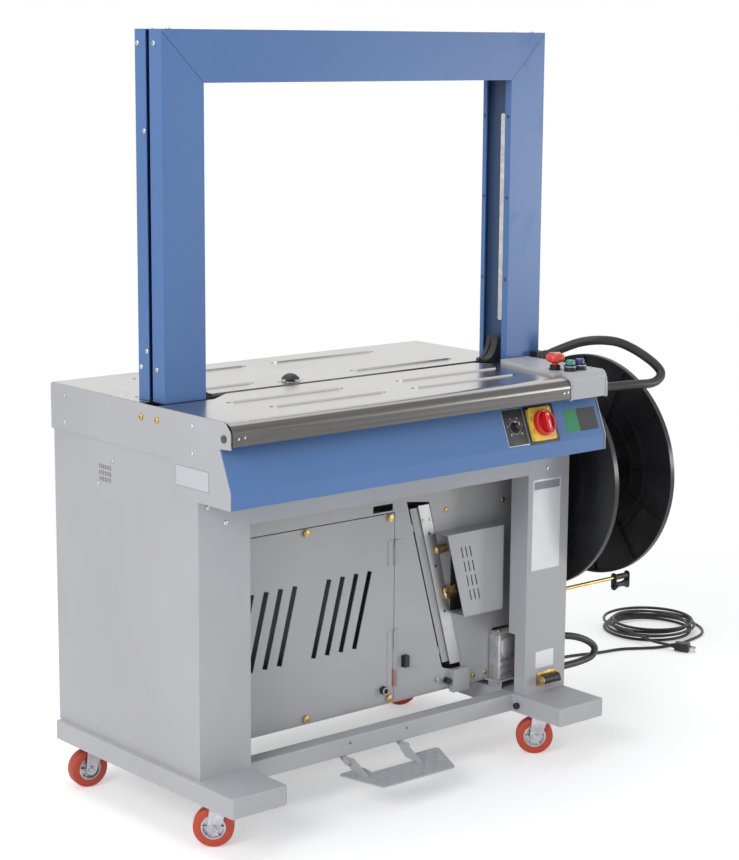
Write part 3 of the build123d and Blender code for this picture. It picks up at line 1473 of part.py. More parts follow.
def coil_knot(index):
    """A point of the coil and the way that the cord runs there."""
    radius, rate, height, climb = coil_state(index)
    angle = math.radians(coil_start_angle + coil_span * index / knot_count)
    a, b = radius * math.cos(angle), radius * math.sin(angle)
    run_a = rate * math.cos(angle) - radius * math.sin(angle)
    run_b = rate * math.sin(angle) + radius * math.cos(angle)
    length = math.hypot(run_a, run_b)
    return coil_point(a, b, height), coil_way(run_a / length, run_b / length, climb / length)


def two_arcs(start, start_way, end, end_way):
    """Two tangent arcs between two points with their directions."""
    span = end - start
    total = start_way + end_way
    blend = 2 * (1 - start_way.dot(end_way))
    reach = (math.sqrt(span.dot(total) ** 2 + blend * span.dot(span)) - span.dot(total)) / blend
    middle = (start + end + (start_way - end_way) * reach) * 0.5
    first = Edge.make_tangent_arc(start, start_way, middle)
    return [first, Edge.make_tangent_arc(middle, first % 1, end)]


knots = [coil_knot(i) for i in range(knot_count + 1)]
tail_end = coil_point(22, -184.5, 13.0)
tail_way = coil_way(0.92, -0.39, -0.02)
knots.append((tail_end, tail_way))
coil_edges = []
coil_first, coil_first_way = knots[0]
coil_start = coil_first - coil_first_way * cord_diameter
coil_edges.append(Edge.make_line(coil_start, coil_first))
for (start, start_way), (end, end_way) in zip(knots, knots[1:]):
    coil_edges.extend(two_arcs(start, start_way, end, end_way))
plug_entry = tail_end + tail_way * cord_diameter
coil_edges.append(Edge.make_line(tail_end, plug_entry))
coil_path = Wire(coil_edges)
nodes["cord_coil"] = cord_tube(coil_path)

# Free stretch of the cord, from the gland over the floor to the coil
cord_run = [
    (16 + GAP, 255, 175),
    (51.5, 255.5, 175),
    (95.5, 256, 134),
    (131.5, 259, 74),
    (169.5, 263, 24),
    (227.5, 269, cord_z),
    (309.5, 281, cord_z),
    (407.5, 290, cord_z),
    (494.5, 284, cord_z),
]
cord_lead_in = [(-164, -234), (-103, -195), (-52, -188), (0, -180)]
cord_route = [
    *[Vector(body_right + out, y, z) for out, y, z in cord_run],
    *[coil_point(a, b, cord_z) for a, b in cord_lead_in],
    coil_start - coil_first_way * last_run,
    coil_start,
]


def route_radii(points):
    """The bend radius at each inner point of a route."""
    radii = []
    for a, b, c in zip(points, points[1:], points[2:]):
        turn = math.radians((b - a).get_angle(c - b))
        shorter = min((b - a).length, (c - b).length)
        radii.append(0.45 * shorter / math.tan(turn / 2))
    return radii


cord_radii = route_radii(cord_route)
cord_path = FilletPolyline(*cord_route, radius=cord_radii)
nodes["mains_cord"] = cord_tube(cord_path)

# Plug: a rounded grip with a neck, two blades and an earth pin
grip_length, grip_width, grip_height = 36.0, 28.0, 23.0
neck_length = 12.0
plug_plane = Plane(origin=plug_entry, x_dir=tail_way.cross(Vector(0, 0, 1)), z_dir=tail_way)
neck = extrude(plug_plane * Circle(7.5), neck_length)
grip = extrude(plug_plane.offset(neck_length) * RectangleRounded(grip_width, grip_height, 5), grip_length)
plug_face = plug_plane.offset(neck_length + grip_length)
blades = [extrude(plug_face * Pos(x, 0) * Rectangle(1.6, 6.4), 16) for x in (-6.3, 6.3)]
earth = extrude(plug_face * Pos(0, 8) * Circle(2.4), 18)
nodes["mains_plug"] = joined([neck, grip, *blades, earth])

# Checks that the source prints
print("cord bend radii mm:", [round(r, 1) for r in cord_radii])
cord_section = math.pi * cord_radius**2
for name, path in (("mains_cord", cord_path), ("cord_coil", coil_path)):
    wanted = cord_section * path.length
    print(name, "length mm", round(path.length, 1), "volume / expected", nodes[name].volume / wanted)
samples = [coil_path @ (i / 2400) for i in range(2401)]
spacing = coil_path.length / 2400
skip = int(4 * cord_diameter / spacing)
least = min(
    (samples[i] - samples[j]).length
    for i in range(0, 2401, 2)
    for j in range(i + skip, 2401, 2)
)
print("least gap of the coil to itself mm:", round(least - cord_diameter, 2))

# Origin in the middle of the footprint, on the floor
cord_nodes = ("mains_cord", "cord_coil", "mains_plug")
boxes = [shape.bounding_box() for name, shape in nodes.items() if name not in cord_nodes]
centre_x = (min(box.min.X for box in boxes) + max(box.max.X for box in boxes)) / 2
centre_y = (min(box.min.Y for box in boxes) + max(box.max.Y for box in boxes)) / 2
print("shift mm:", centre_x, centre_y)
for name, shape in nodes.items():
    export_step(Pos(-centre_x, -centre_y, 0) * shape, f"parts/{name}.step")
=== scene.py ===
"""Arch strapping machine: finishes, detailed pieces, mains lead, studio and camera.

Sizes are in millimetres of the machine's own layout: x = 0 and y = 0 at the middle of the arch,
z = 0 on the floor. Layout.at turns them into the frame's metres.
"""

import logging
import math
from dataclasses import dataclass, field
from enum import Enum
from typing import Any, ClassVar, Iterable, Sequence, Union

import bmesh
import bpy
from mathutils import Matrix, Vector


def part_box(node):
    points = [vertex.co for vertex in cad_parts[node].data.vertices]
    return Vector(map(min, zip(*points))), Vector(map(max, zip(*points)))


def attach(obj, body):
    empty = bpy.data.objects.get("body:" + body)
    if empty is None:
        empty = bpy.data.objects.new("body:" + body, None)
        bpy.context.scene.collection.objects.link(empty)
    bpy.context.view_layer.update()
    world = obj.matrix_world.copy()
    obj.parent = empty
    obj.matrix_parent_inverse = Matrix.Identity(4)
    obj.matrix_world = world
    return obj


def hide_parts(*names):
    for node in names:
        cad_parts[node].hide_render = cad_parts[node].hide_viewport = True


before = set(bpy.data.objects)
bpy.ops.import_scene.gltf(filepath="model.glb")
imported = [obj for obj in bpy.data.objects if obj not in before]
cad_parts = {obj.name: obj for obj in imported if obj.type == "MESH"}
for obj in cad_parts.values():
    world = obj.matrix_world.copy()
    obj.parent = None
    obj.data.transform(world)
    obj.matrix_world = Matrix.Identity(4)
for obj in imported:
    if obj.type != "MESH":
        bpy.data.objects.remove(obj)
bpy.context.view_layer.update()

logging.basicConfig(level=logging.INFO, format="%(message)s")
LOG = logging.getLogger("strapping_machine")

Triple = tuple[float, float, float]
Pair = tuple[float, float]
Heading = tuple[Triple, Triple]
Operand = Union["Wire", float]

IMAGE_WIDTH = 739
IMAGE_HEIGHT = 860
MM = 0.001

UP: Triple = (0.0, 0.0, 1.0)
LEFT: Triple = (-1.0, 0.0, 0.0)
RIGHT: Triple = (1.0, 0.0, 0.0)
FRONT: Triple = (0.0, -1.0, 0.0)
BACK: Triple = (0.0, 1.0, 0.0)


# ---------------------------------------------------------------- layout
class Layout:
    """The machine's own layout within the frame."""

    ARCH_FRONT: ClassVar[float] = -43.0
    OPENING_TOP: ClassVar[float] = 1443.0
    OPENING_HALF: ClassVar[float] = 400.0
    BEAM_HEIGHT: ClassVar[float] = 94.5

    def __init__(self) -> None:
        """Find the middle of the arch from the front cover's box."""
        low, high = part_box("arch_front_cover")
        self.origin = Vector(((low.x + high.x) / 2, low.y - self.ARCH_FRONT * MM, 0.0))

    def at(self, x: float, y: float, z: float) -> Vector:
        """Turn a place in machine millimetres into frame metres."""
        return self.origin + Vector((x, y, z)) * MM

    def matrix(self) -> Matrix:
        """Return the transform from machine millimetres to frame metres."""
        return Matrix.Translation(self.origin) @ Matrix.Scale(MM, 4)


layout = Layout()


class Slot(Enum):
    """The record's material slots."""

    LIGHT_GREY = "light_grey_paint"
    BLUE = "blue_paint"
    STAINLESS = "stainless"
    ZINC = "zinc"
    ALUMINIUM = "aluminium"
    BRASS = "brass"
    BLACK_PLASTIC = "black_plastic"
    DARK_METAL = "dark_metal"
    RED_PLASTIC = "red_plastic"
    YELLOW_PLASTIC = "yellow_plastic"
    GREEN_PLASTIC = "green_plastic"
    BLUE_PLASTIC = "blue_plastic"
    RED_TYRE = "red_tyre"
    BLACK_RUBBER = "black_rubber"


class Brushing(Enum):
    """The way that the grain of a brushed metal runs."""

    ALONG_X = (3.0, 420.0, 420.0)
    ALONG_Z = (420.0, 420.0, 3.0)


# ---------------------------------------------------------------- node trees
def tone(red: int, green: int, blue: int) -> Triple:
    """Turn display values from 0 to 255 into a linear colour."""
    parts = [value / 255 for value in (red, green, blue)]
    return tuple(part / 12.92 if part <= 0.04045 else ((part + 0.055) / 1.055) ** 2.4 for part in parts)


class NodeTree:
    """A node tree whose nodes come with their settings and inputs."""

    def __init__(self, tree: bpy.types.NodeTree) -> None:
        """Keep the tree."""
        self.tree = tree

    def feed(self, target: bpy.types.NodeSocket, value: Any) -> None:
        """Link a wire or a socket to an input, or set its value."""
        if isinstance(value, Wire):
            value = value.socket
        if isinstance(value, bpy.types.NodeSocket):
            self.tree.links.new(value, target)
        else:
            target.default_value = value

    def node(self, kind: str, settings: dict[str, Any] | None = None, **sockets: Any) -> bpy.types.Node:
        """Add a node.

        Args:
            kind: The node's type.
            settings: Its settings, set first.
            sockets: Values, sockets or wires for its inputs, by name with underscores, or in_NUMBER.

        Returns:
            The node.
        """
        node = self.tree.nodes.new(kind)
        for key, value in (settings or {}).items():
            setattr(node, key, value)
        for key, value in sockets.items():
            place = int(key[3:]) if key.startswith("in_") else key.replace("_", " ")
            self.feed(node.inputs[place], value)
        return node


class Wire:
    """A value socket with arithmetic that adds its own nodes."""

    def __init__(self, canvas: "Canvas", socket: bpy.types.NodeSocket) -> None:
        """Keep the canvas and the socket."""
        self.canvas, self.socket = canvas, socket

    def math(self, operation: str, *others: Operand, first: bool = True) -> "Wire":
        """Add a Math node of this wire and the others, with this one first or last."""
        values = [self, *others] if first else [*others, self]
        sockets = {f"in_{index}": value for index, value in enumerate(values)}
        return Wire(self.canvas, self.canvas.node("ShaderNodeMath", {"operation": operation}, **sockets).outputs[0])

    def __add__(self, other: Operand) -> "Wire":
        """Add."""
        return self.math("ADD", other)

    def __sub__(self, other: Operand) -> "Wire":
        """Take away."""
        return self.math("SUBTRACT", other)

    def __rsub__(self, other: Operand) -> "Wire":
        """Take away from a number."""
        return self.math("SUBTRACT", other, first=False)

    def __mul__(self, other: Operand) -> "Wire":
        """Multiply."""
        return self.math("MULTIPLY", other)

    def __abs__(self) -> "Wire":
        """Take the size without the sign."""
        return self.math("ABSOLUTE")

    def __lt__(self, other: Operand) -> "Wire":
        """Give 1 where this is less."""
        return self.math("LESS_THAN", other)

    def __gt__(self, other: Operand) -> "Wire":
        """Give 1 where this is more."""
        return self.math("GREATER_THAN", other)

    __radd__, __rmul__ = __add__, __mul__

    def band(self, low: float, high: float) -> "Wire":
        """Rise smoothly from 0 at low to 1 at high."""
        settings = {"interpolation_type": "SMOOTHSTEP"}
        node = self.canvas.node("ShaderNodeMapRange", settings, Value=self, From_Min=low, From_Max=high)
        return Wire(self.canvas, node.outputs[0])


class Canvas(NodeTree):
    """The node tree of one material, with its surface shader."""

    def __init__(self, name: str) -> None:
        """Start an empty material."""
        self.material = bpy.data.materials.new(name)
        self.material.use_nodes = True
        super().__init__(self.material.node_tree)
        self.tree.nodes.clear()
        self.surface = self.node("ShaderNodeBsdfPrincipled")
        self.output = self.node("ShaderNodeOutputMaterial", Surface=self.surface.outputs[0])
        self.place = self.node("ShaderNodeTexCoord").outputs["Object"]

    def noise(self, scale: float, detail: float = 2.0, rough: float = 0.5, stretch: Triple | None = None) -> Wire:
        """Add a noise over the piece, stretched where a scale for each way is given."""
        place = self.place
        if stretch is not None:
            place = self.node("ShaderNodeMapping", Vector=place, Scale=stretch).outputs[0]
        node = self.node("ShaderNodeTexNoise", Vector=place, Scale=scale, Detail=detail, Roughness=rough)
        return Wire(self, node.outputs[0])

    def axis(self, name: str) -> Wire:
        """Return one coordinate of the place, in metres."""
        return Wire(self, self.node("ShaderNodeSeparateXYZ", in_0=self.place).outputs[name])

    def mix(self, factor: Wire, first: Any, second: Any) -> bpy.types.NodeSocket:
        """Mix two colours by a factor."""
        pick = [value if isinstance(value, bpy.types.NodeSocket) else (*value, 1.0) for value in (first, second)]
        return self.node("ShaderNodeMix", {"data_type": "RGBA"}, in_0=factor, in_6=pick[0], in_7=pick[1]).outputs[2]

    def bump(self, height: Wire, strength: float, distance: float) -> bpy.types.NodeSocket:
        """Add a bump from a height."""
        return self.node("ShaderNodeBump", Height=height, Strength=strength, Distance=distance).outputs[0]

    def set(self, **inputs: Any) -> None:
        """Set or link inputs of the surface shader, with spaces written as underscores."""
        for key, value in inputs.items():
            self.feed(self.surface.inputs[key.replace("_", " ")], value)


# ---------------------------------------------------------------- finishes
@dataclass(frozen=True)
class Finish:
    """A finish of the machine's pieces."""

    name: str
    colour: Triple
    roughness: float
    slot: Slot | None = None
    made: ClassVar[dict[str, bpy.types.Material]] = {}

    def paint(self, canvas: Canvas) -> None:
        """Build the nodes of the finish."""
        raise NotImplementedError

    def shaded(self, factor: float) -> Triple:
        """Return the colour, darker or lighter by a factor."""
        return tuple(min(part * factor, 1.0) for part in self.colour)

    def material(self) -> bpy.types.Material:
        """Return the material, built on its first use."""
        if self.name not in Finish.made:
            canvas = Canvas(self.name)
            self.paint(canvas)
            Finish.made[self.name] = canvas.material
        return Finish.made[self.name]


@dataclass(frozen=True)
class PowderCoat(Finish):
    """Satin powder coat with a fine skin, handling marks and slightly uneven tone."""

    mitre: bool = False
    grime: float = 0.10

    def paint(self, canvas: Canvas) -> None:
        """Build the coat, with the cut lines of the arch's corners where it has them."""
        broad = canvas.noise(2.6, 3.0)
        marks = canvas.noise(9.0, 5.0, 0.62).band(0.52, 0.80)
        skin = canvas.noise(1100.0, 2.0)
        peel = canvas.noise(230.0, 1.0)
        colour = canvas.mix(broad.band(0.3, 0.7), self.shaded(0.955), self.shaded(1.035))
        colour = canvas.mix(marks * self.grime, colour, self.shaded(0.80))
        height = skin * 0.35 + peel * 0.65
        if self.mitre:
            line = self.mitre_line(canvas)
            colour = canvas.mix(line * 0.85, colour, self.shaded(0.18))
            height = height - line * 3.0
        canvas.set(
            Base_Color=colour,
            Roughness=self.roughness + marks * 0.12 + (skin - 0.5) * 0.05,
            Normal=canvas.bump(height, 0.10, 0.0004),
            Coat_Weight=0.06,
            Coat_Roughness=0.30,
        )

    def mitre_line(self, canvas: Canvas) -> Wire:
        """Return 1 on the diagonal lines from the corners of the opening outwards."""
        centre = layout.at(0.0, 0.0, Layout.OPENING_TOP)
        out = abs(canvas.axis("X") - centre.x) - Layout.OPENING_HALF * MM
        rise = canvas.axis("Z") - centre.z
        line = 1.0 - abs(out - rise).band(0.0007, 0.0015)
        return line * (out > 0.0015) * (out < Layout.BEAM_HEIGHT * MM)


@dataclass(frozen=True)
class BrushedSteel(Finish):
    """Brushed sheet steel with fine grain, soft smears and painted shade on the rolled front."""

    grain: Brushing = Brushing.ALONG_X
    lip_shade_below: float = 0.0
    lip_shade_colour: Triple = (0.2, 0.2, 0.2)

    def paint(self, canvas: Canvas) -> None:
        """Build the grain, the smears and the painted shade on the front."""
        grain = canvas.noise(1.0, 3.0, 0.6, self.grain.value)
        smears = canvas.noise(5.0, 4.0, 0.6)
        colour = canvas.mix(grain.band(0.35, 0.65), self.shaded(0.95), self.shaded(1.04))
        colour = canvas.mix(smears.band(0.45, 0.75) * 0.25, colour, self.shaded(0.90))
        rough = self.roughness + (grain - 0.5) * 0.10 + smears.band(0.5, 0.8) * 0.06
        if self.lip_shade_below:
            # Painted shade: below this height the rolled front gets a darker stainless colour that stands in for the
            # shade falling on it.
            lip = 1.0 - canvas.axis("Z").band(self.lip_shade_below - 0.004, self.lip_shade_below)
            lip_shade_tone = canvas.mix(grain.band(0.3, 0.7), self.lip_shade_colour, tuple(1.2 * c for c in self.lip_shade_colour))
            colour = canvas.mix(lip, colour, lip_shade_tone)
        canvas.set(
            Base_Color=colour, Metallic=1.0, Roughness=rough, Normal=canvas.bump(grain, 0.05, 0.0003)
        )


@dataclass(frozen=True)
class PlatedMetal(Finish):
    """Plated or bare metal with cloudy tone, fine pits and dulled patches."""

    second: Triple | None = None
    metallic: float = 1.0

    def paint(self, canvas: Canvas) -> None:
        """Build the clouds, the pits and the sheen."""
        clouds = canvas.noise(45.0, 4.0, 0.6)
        pits = canvas.noise(900.0, 2.0)
        dull = canvas.noise(14.0, 4.0).band(0.45, 0.75)
        colour = canvas.mix(clouds.band(0.35, 0.65), self.shaded(0.84), self.second or self.shaded(1.10))
        colour = canvas.mix(dull * 0.3, colour, self.shaded(0.72))
        canvas.set(
            Base_Color=colour,
            Metallic=self.metallic,
            Roughness=self.roughness + dull * 0.16 + (clouds - 0.5) * 0.10,
            Normal=canvas.bump(pits, 0.10, 0.0002),
        )


@dataclass(frozen=True)
class MouldedPlastic(Finish):
    """Moulded plastic or rubber with its grain, rub marks and a little dust."""

    grain: float = 700.0
    depth: float = 0.12
    dust: float = 0.10
    coat: float = 0.0

    def paint(self, canvas: Canvas) -> None:
        """Build the grain, the rub marks and the dust."""
        grain = canvas.noise(self.grain, 2.0)
        rubs = canvas.noise(16.0, 5.0, 0.65).band(0.48, 0.78)
        flow = canvas.noise(4.0, 2.0)
        colour = canvas.mix(flow.band(0.3, 0.7), self.shaded(0.90), self.shaded(1.08))
        paler = tuple(part * 0.8 + 0.05 for part in self.colour)
        colour = canvas.mix(rubs * self.dust, colour, paler)
        canvas.set(
            Base_Color=colour,
            Roughness=self.roughness + rubs * 0.14 + (grain - 0.5) * 0.08,
            Normal=canvas.bump(grain, self.depth, 0.0003),
            Coat_Weight=self.coat,
        )


@dataclass(frozen=True)
class Film(Finish):
    """A printed plate or adhesive film, bare, with faint handling marks."""

    metallic: float = 0.0

    def paint(self, canvas: Canvas) -> None:
        """Build the even film with its faint marks."""
        marks = canvas.noise(38.0, 4.0, 0.6)
        fibre = canvas.noise(1600.0, 1.0)
        colour = canvas.mix(marks.band(0.45, 0.8) * 0.4, self.colour, self.shaded(0.88))
        canvas.set(
            Base_Color=colour,
            Metallic=self.metallic,
            Roughness=self.roughness + marks.band(0.4, 0.7) * 0.12,
            Normal=canvas.bump(fibre, 0.05, 0.0002),
        )


GREY_PAINT = PowderCoat("light_grey_coat", tone(182, 182, 186), 0.42, Slot.LIGHT_GREY)
PANEL_PAINT = PowderCoat("panel_grey_coat", tone(184, 184, 187), 0.40, Slot.LIGHT_GREY, grime=0.16)
FOOT_PAINT = PowderCoat("foot_grey_coat", tone(186, 186, 190), 0.46, Slot.LIGHT_GREY, grime=0.26)
TRACK_PAINT = PowderCoat("dark_track_coat", tone(48, 72, 106), 0.5, Slot.ZINC, grime=0.04)
BLUE_PAINT = PowderCoat("blue_coat", tone(80, 121, 178), 0.38, Slot.BLUE)
ARCH_PAINT = PowderCoat("blue_arch_coat", tone(75, 115, 172), 0.38, Slot.BLUE, mitre=True)
# The table steel carries painted shade on its rolled front below 0.8385 m.
TABLE_STEEL = BrushedSteel("table_steel", tone(192, 191, 188), 0.24, Slot.STAINLESS, lip_shade_below=0.8385,
                           lip_shade_colour=tone(98, 96, 94))
RAIL_METAL = BrushedSteel("rail_steel", tone(190, 190, 191), 0.34, Slot.STAINLESS, grain=Brushing.ALONG_Z)
TRACK_METAL = PlatedMetal("track_aluminium", tone(150, 152, 156), 0.34, Slot.ALUMINIUM)
CAST_METAL = PlatedMetal("cast_aluminium", tone(206, 208, 211), 0.44, Slot.ALUMINIUM, metallic=0.7)
ZINC = PlatedMetal("bright_zinc", tone(188, 190, 194), 0.28, Slot.ZINC, second=tone(206, 206, 212))
NICKEL = PlatedMetal("nickel_screws", tone(205, 203, 198), 0.24, Slot.ZINC)
BRASS = PlatedMetal("yellow_zinc", tone(206, 176, 98), 0.30, Slot.BRASS, second=tone(218, 186, 132))
COPPER = PlatedMetal("copper_wire", tone(196, 132, 104), 0.32, Slot.BRASS)
DARK_METAL = PlatedMetal("blackened_steel", tone(52, 52, 54), 0.42, Slot.DARK_METAL, metallic=0.7)
MOTOR_PAINT = PlatedMetal("motor_casing", tone(70, 72, 76), 0.5, Slot.DARK_METAL, metallic=0.4)
BLACK_PLASTIC = MouldedPlastic("black_plastic", tone(34, 34, 36), 0.42, Slot.BLACK_PLASTIC)
REEL_PLASTIC = MouldedPlastic("reel_plastic", tone(36, 36, 38), 0.30, Slot.BLACK_PLASTIC, 420.0, 0.08, 0.14)
POOL_PLASTIC = MouldedPlastic("pool_lining", tone(120, 120, 123), 0.55, Slot.BLACK_PLASTIC)
RED_PLASTIC = MouldedPlastic("red_plastic", tone(205, 28, 36), 0.26, Slot.RED_PLASTIC, depth=0.04, coat=0.3)
STOP_RED = MouldedPlastic("stop_red", tone(214, 58, 48), 0.30, Slot.RED_PLASTIC, depth=0.04, coat=0.2)
YELLOW_PLASTIC = MouldedPlastic("yellow_plastic", tone(236, 196, 62), 0.32, Slot.YELLOW_PLASTIC, depth=0.04, coat=0.2)
GREEN_PLASTIC = MouldedPlastic("green_plastic", tone(38, 140, 128), 0.24, Slot.GREEN_PLASTIC, depth=0.03, coat=0.3)
BLUE_PLASTIC = MouldedPlastic("blue_plastic", tone(36, 52, 130), 0.24, Slot.BLUE_PLASTIC, depth=0.03, coat=0.3)
TYRE = MouldedPlastic("red_tyre", tone(196, 74, 52), 0.50, Slot.RED_TYRE, 380.0, 0.15, 0.35)
HOSE_RUBBER = MouldedPlastic("hose_rubber", tone(36, 36, 37), 0.36, Slot.BLACK_RUBBER, grain=520.0)
CORD_RUBBER = MouldedPlastic("cord_rubber", tone(30, 30, 31), 0.38, Slot.BLACK_RUBBER, 620.0, 0.10, 0.18)
WHITE_FILM = Film("white_film", tone(243, 243, 245), 0.38)
SILVER_FILM = Film("silver_film", tone(200, 202, 206), 0.34, metallic=0.3)
GREY_FILM = Film("grey_film", tone(150, 152, 156), 0.42)
DARK_FILM = Film("dark_film", tone(54, 56, 60), 0.36)
GREEN_FILM = Film("green_film", tone(44, 140, 92), 0.34)


# ---------------------------------------------------------------- mesh helpers
STAY = Matrix.Identity(4)
SHARP_ANGLE = math.radians(34.0)
SAME_POINT = 1e-4


def shift(x: float, y: float, z: float) -> Matrix:
    """Return the transform that moves by x, y and z."""
    return Matrix.Translation((x, y, z))


def turned(degrees: float) -> Matrix:
    """Return the turn about Z by degrees."""
    return Matrix.Rotation(math.radians(degrees), 4, "Z")


def way_matrix(start: Sequence[float], way: Sequence[float]) -> Matrix:
    """Return the transform that puts +Z at start along a way."""
    return Matrix.Translation(start) @ Vector(way).normalized().to_track_quat("Z", "Y").to_matrix().to_4x4()


def facing(origin: Sequence[float], across: Triple, up: Triple) -> Matrix:
    """Return the place whose X runs across, whose Y runs up and whose +Z points outwards."""
    first, second = Vector(across).normalized(), Vector(up).normalized()
    turn = Matrix((first, second, first.cross(second))).transposed().to_4x4()
    return Matrix.Translation(Vector(origin)) @ turn


def rectangle(low: Pair, high: Pair) -> list[Pair]:
    """Return the outline of a rectangle between two corners."""
    return [low, (high[0], low[1]), high, (low[0], high[1])]


def circle(steps: int) -> list[Pair]:
    """Return the cosine and the sine of even steps round a circle."""
    angles = [2 * math.pi * step / steps for step in range(steps)]
    return [(math.cos(angle), math.sin(angle)) for angle in angles]


def stitch(part: bmesh.types.BMesh, rings: Sequence[Sequence[bmesh.types.BMVert]], steps: int) -> None:
    """Join each ring of vertices, or single vertex, to the next one with faces."""
    for lower, upper in zip(rings, rings[1:]):
        for step in range(steps):
            after = (step + 1) % steps
            if len(lower) == 1:
                part.faces.new((lower[0], upper[step], upper[after]))
            elif len(upper) == 1:
                part.faces.new((lower[step], lower[after], upper[0]))
            else:
                part.faces.new((lower[step], lower[after], upper[after], upper[step]))


def link(piece: bpy.types.Object) -> bpy.types.Object:
    """Put an object into the scene."""
    bpy.context.scene.collection.objects.link(piece)
    return piece


class Shape:
    """A mesh in the making, in machine millimetres, with a paint number for each part."""

    def __init__(self) -> None:
        """Start empty."""
        self.mesh = bmesh.new()

    def add(self, part: bmesh.types.BMesh, paint: int = 0, place: Matrix = STAY) -> "Shape":
        """Add a part under a transform, in one paint, and release it."""
        part.transform(place)
        bmesh.ops.remove_doubles(part, verts=part.verts, dist=SAME_POINT)
        bmesh.ops.recalc_face_normals(part, faces=part.faces)
        for face in part.faces:
            face.material_index = paint
            face.smooth = True
        store = bpy.data.meshes.new("part")
        part.to_mesh(store)
        part.free()
        self.mesh.from_mesh(store)
        bpy.data.meshes.remove(store)
        return self

    def prism(self, outline: Sequence[Pair], place: Matrix, depth: float, rounding: float = 0.0, paint: int = 0,
              segments: int = 2) -> "Shape":
        """Add an outline pushed out along +Z of its place, with rounded edges."""
        part = bmesh.new()
        face = part.faces.new([part.verts.new((a, b, 0.0)) for a, b in outline])
        pushed = bmesh.ops.extrude_face_region(part, geom=[face])["geom"]
        moved = [item for item in pushed if isinstance(item, bmesh.types.BMVert)]
        bmesh.ops.translate(part, verts=moved, vec=(0.0, 0.0, depth))
        if rounding > 0:
            bmesh.ops.bevel(part, geom=list(part.edges), offset=rounding, segments=segments, profile=0.5,
                            affect="EDGES", clamp_overlap=True)
        return self.add(part, paint, place)

    def block(self, low: Triple, high: Triple, rounding: float = 0.6, paint: int = 0, place: Matrix = STAY,
              segments: int = 2) -> "Shape":
        """Add a rounded block between two corners."""
        lift = place @ shift(0.0, 0.0, low[2])
        return self.prism(rectangle(low[:2], high[:2]), lift, high[2] - low[2], rounding, paint, segments)

    def lathe(self, profile: Sequence[Pair], place: Matrix, steps: int = 40, paint: int = 0,
              flutes: float = 0.0) -> "Shape":
        """Add a turned part.

        Args:
            profile: Heights and radii; a radius of 0 closes an end, else the ends join.
            place: Where its +Z axis stands.
            steps: How many faces go round.
            paint: The number of its finish.
            flutes: How deep every other step is cut, as on a fluted knob.

        Returns:
            This shape.
        """
        part = bmesh.new()
        rings: list[list[bmesh.types.BMVert]] = []
        for height, radius in profile:
            spots = [(0.0, 0.0, height)]
            if radius > 0:
                reaches = [radius - flutes * (step % 2) for step in range(steps)]
                spots = [(reach * a, reach * b, height) for reach, (a, b) in zip(reaches, circle(steps))]
            rings.append([part.verts.new(spot) for spot in spots])
        if len(rings[0]) > 1 and len(rings[-1]) > 1:
            rings.append(rings[0])
        stitch(part, rings, steps)
        return self.add(part, paint, place)

    def rod(self, radius: float, length: float, place: Matrix, steps: int, paint: int = 0) -> "Shape":
        """Add a plain round rod with closed ends."""
        return self.lathe([(0, 0), (0, radius), (length, radius), (length, 0)], place, steps, paint)

    def pipe(self, points: Sequence[Vector], radii: Sequence[float], sides: int = 16, paint: int = 0) -> "Shape":
        """Add a tube that follows points, with a radius at each and closed ends."""
        part = bmesh.new()
        rings = []
        normal = Vector(UP)
        count = len(points)
        for index, point in enumerate(points):
            along = (points[min(index + 1, count - 1)] - points[max(index - 1, 0)]).normalized()
            if index == 0 and abs(along.dot(normal)) > 0.9:
                normal = Vector(BACK)
            normal = (normal - along * normal.dot(along)).normalized()
            side = along.cross(normal)
            offsets = [(normal * a + side * b) * radii[index] for a, b in circle(sides)]
            rings.append([part.verts.new(point + offset) for offset in offsets])
        stitch(part, rings, sides)
        part.faces.new(rings[0][::-1])
        part.faces.new(rings[-1])
        return self.add(part, paint)

    def to_mesh(self, name: str, place: Matrix) -> bpy.types.Mesh:
        """Turn the shape into a mesh under a transform."""
        mesh = bpy.data.meshes.new(name)
        self.mesh.to_mesh(mesh)
        self.mesh.free()
        mesh.transform(place)
        mesh.set_sharp_from_angle(angle=SHARP_ANGLE)
        return mesh


def put(name: str, mesh: bpy.types.Mesh, body: str, finishes: Sequence[Finish],
        stands_for: Iterable[str] = ()) -> bpy.types.Object:
    """Make a finished piece of a mesh that is already in its place.

    Args:
        name: The piece's name.
        mesh: Its mesh, in frame metres.
        body: The body that it rides on.
        finishes: Its finishes, by paint number.
        stands_for: The CAD nodes that it replaces.

    Returns:
        The piece.
    """
    piece = link(bpy.data.objects.new(name, mesh))
    if mesh.materials:
        mesh.materials.clear()
    for finish in finishes:
        mesh.materials.append(finish.material())
    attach(piece, body)
    nodes = list(stands_for)
    if nodes:
        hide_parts(*nodes)
    LOG.info("piece %s on %s, %d faces", name, body, len(mesh.polygons))
    return piece


def place_shape(name: str, shape: Shape, body: str, finishes: Sequence[Finish],
                stands_for: Iterable[str] = ()) -> bpy.types.Object:
    """Make a piece of a shape in machine millimetres."""
    return put(name, shape.to_mesh(name, layout.matrix()), body, finishes, stands_for)


def dress(finish: Finish, *nodes: str) -> None:
    """Give CAD nodes a finish."""
    for node in nodes:
        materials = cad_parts[node].data.materials
        if not materials:
            materials.append(finish.material())
        for index in range(len(materials)):
            materials[index] = finish.material()


def dress_part(finish: Finish, node: str, low: Triple, high: Triple) -> None:
    """Give the faces of a CAD node that lie in a box, in machine millimetres, another finish."""
    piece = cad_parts[node]
    piece.data.materials.append(finish.material())
    corners = list(zip(layout.at(*low), layout.at(*high)))
    for face in piece.data.polygons:
        middle = piece.matrix_world @ face.center
        if all(start - 0.0005 < part < end + 0.0005 for (start, end), part in zip(corners, middle)):
            face.material_index = len(piece.data.materials) - 1


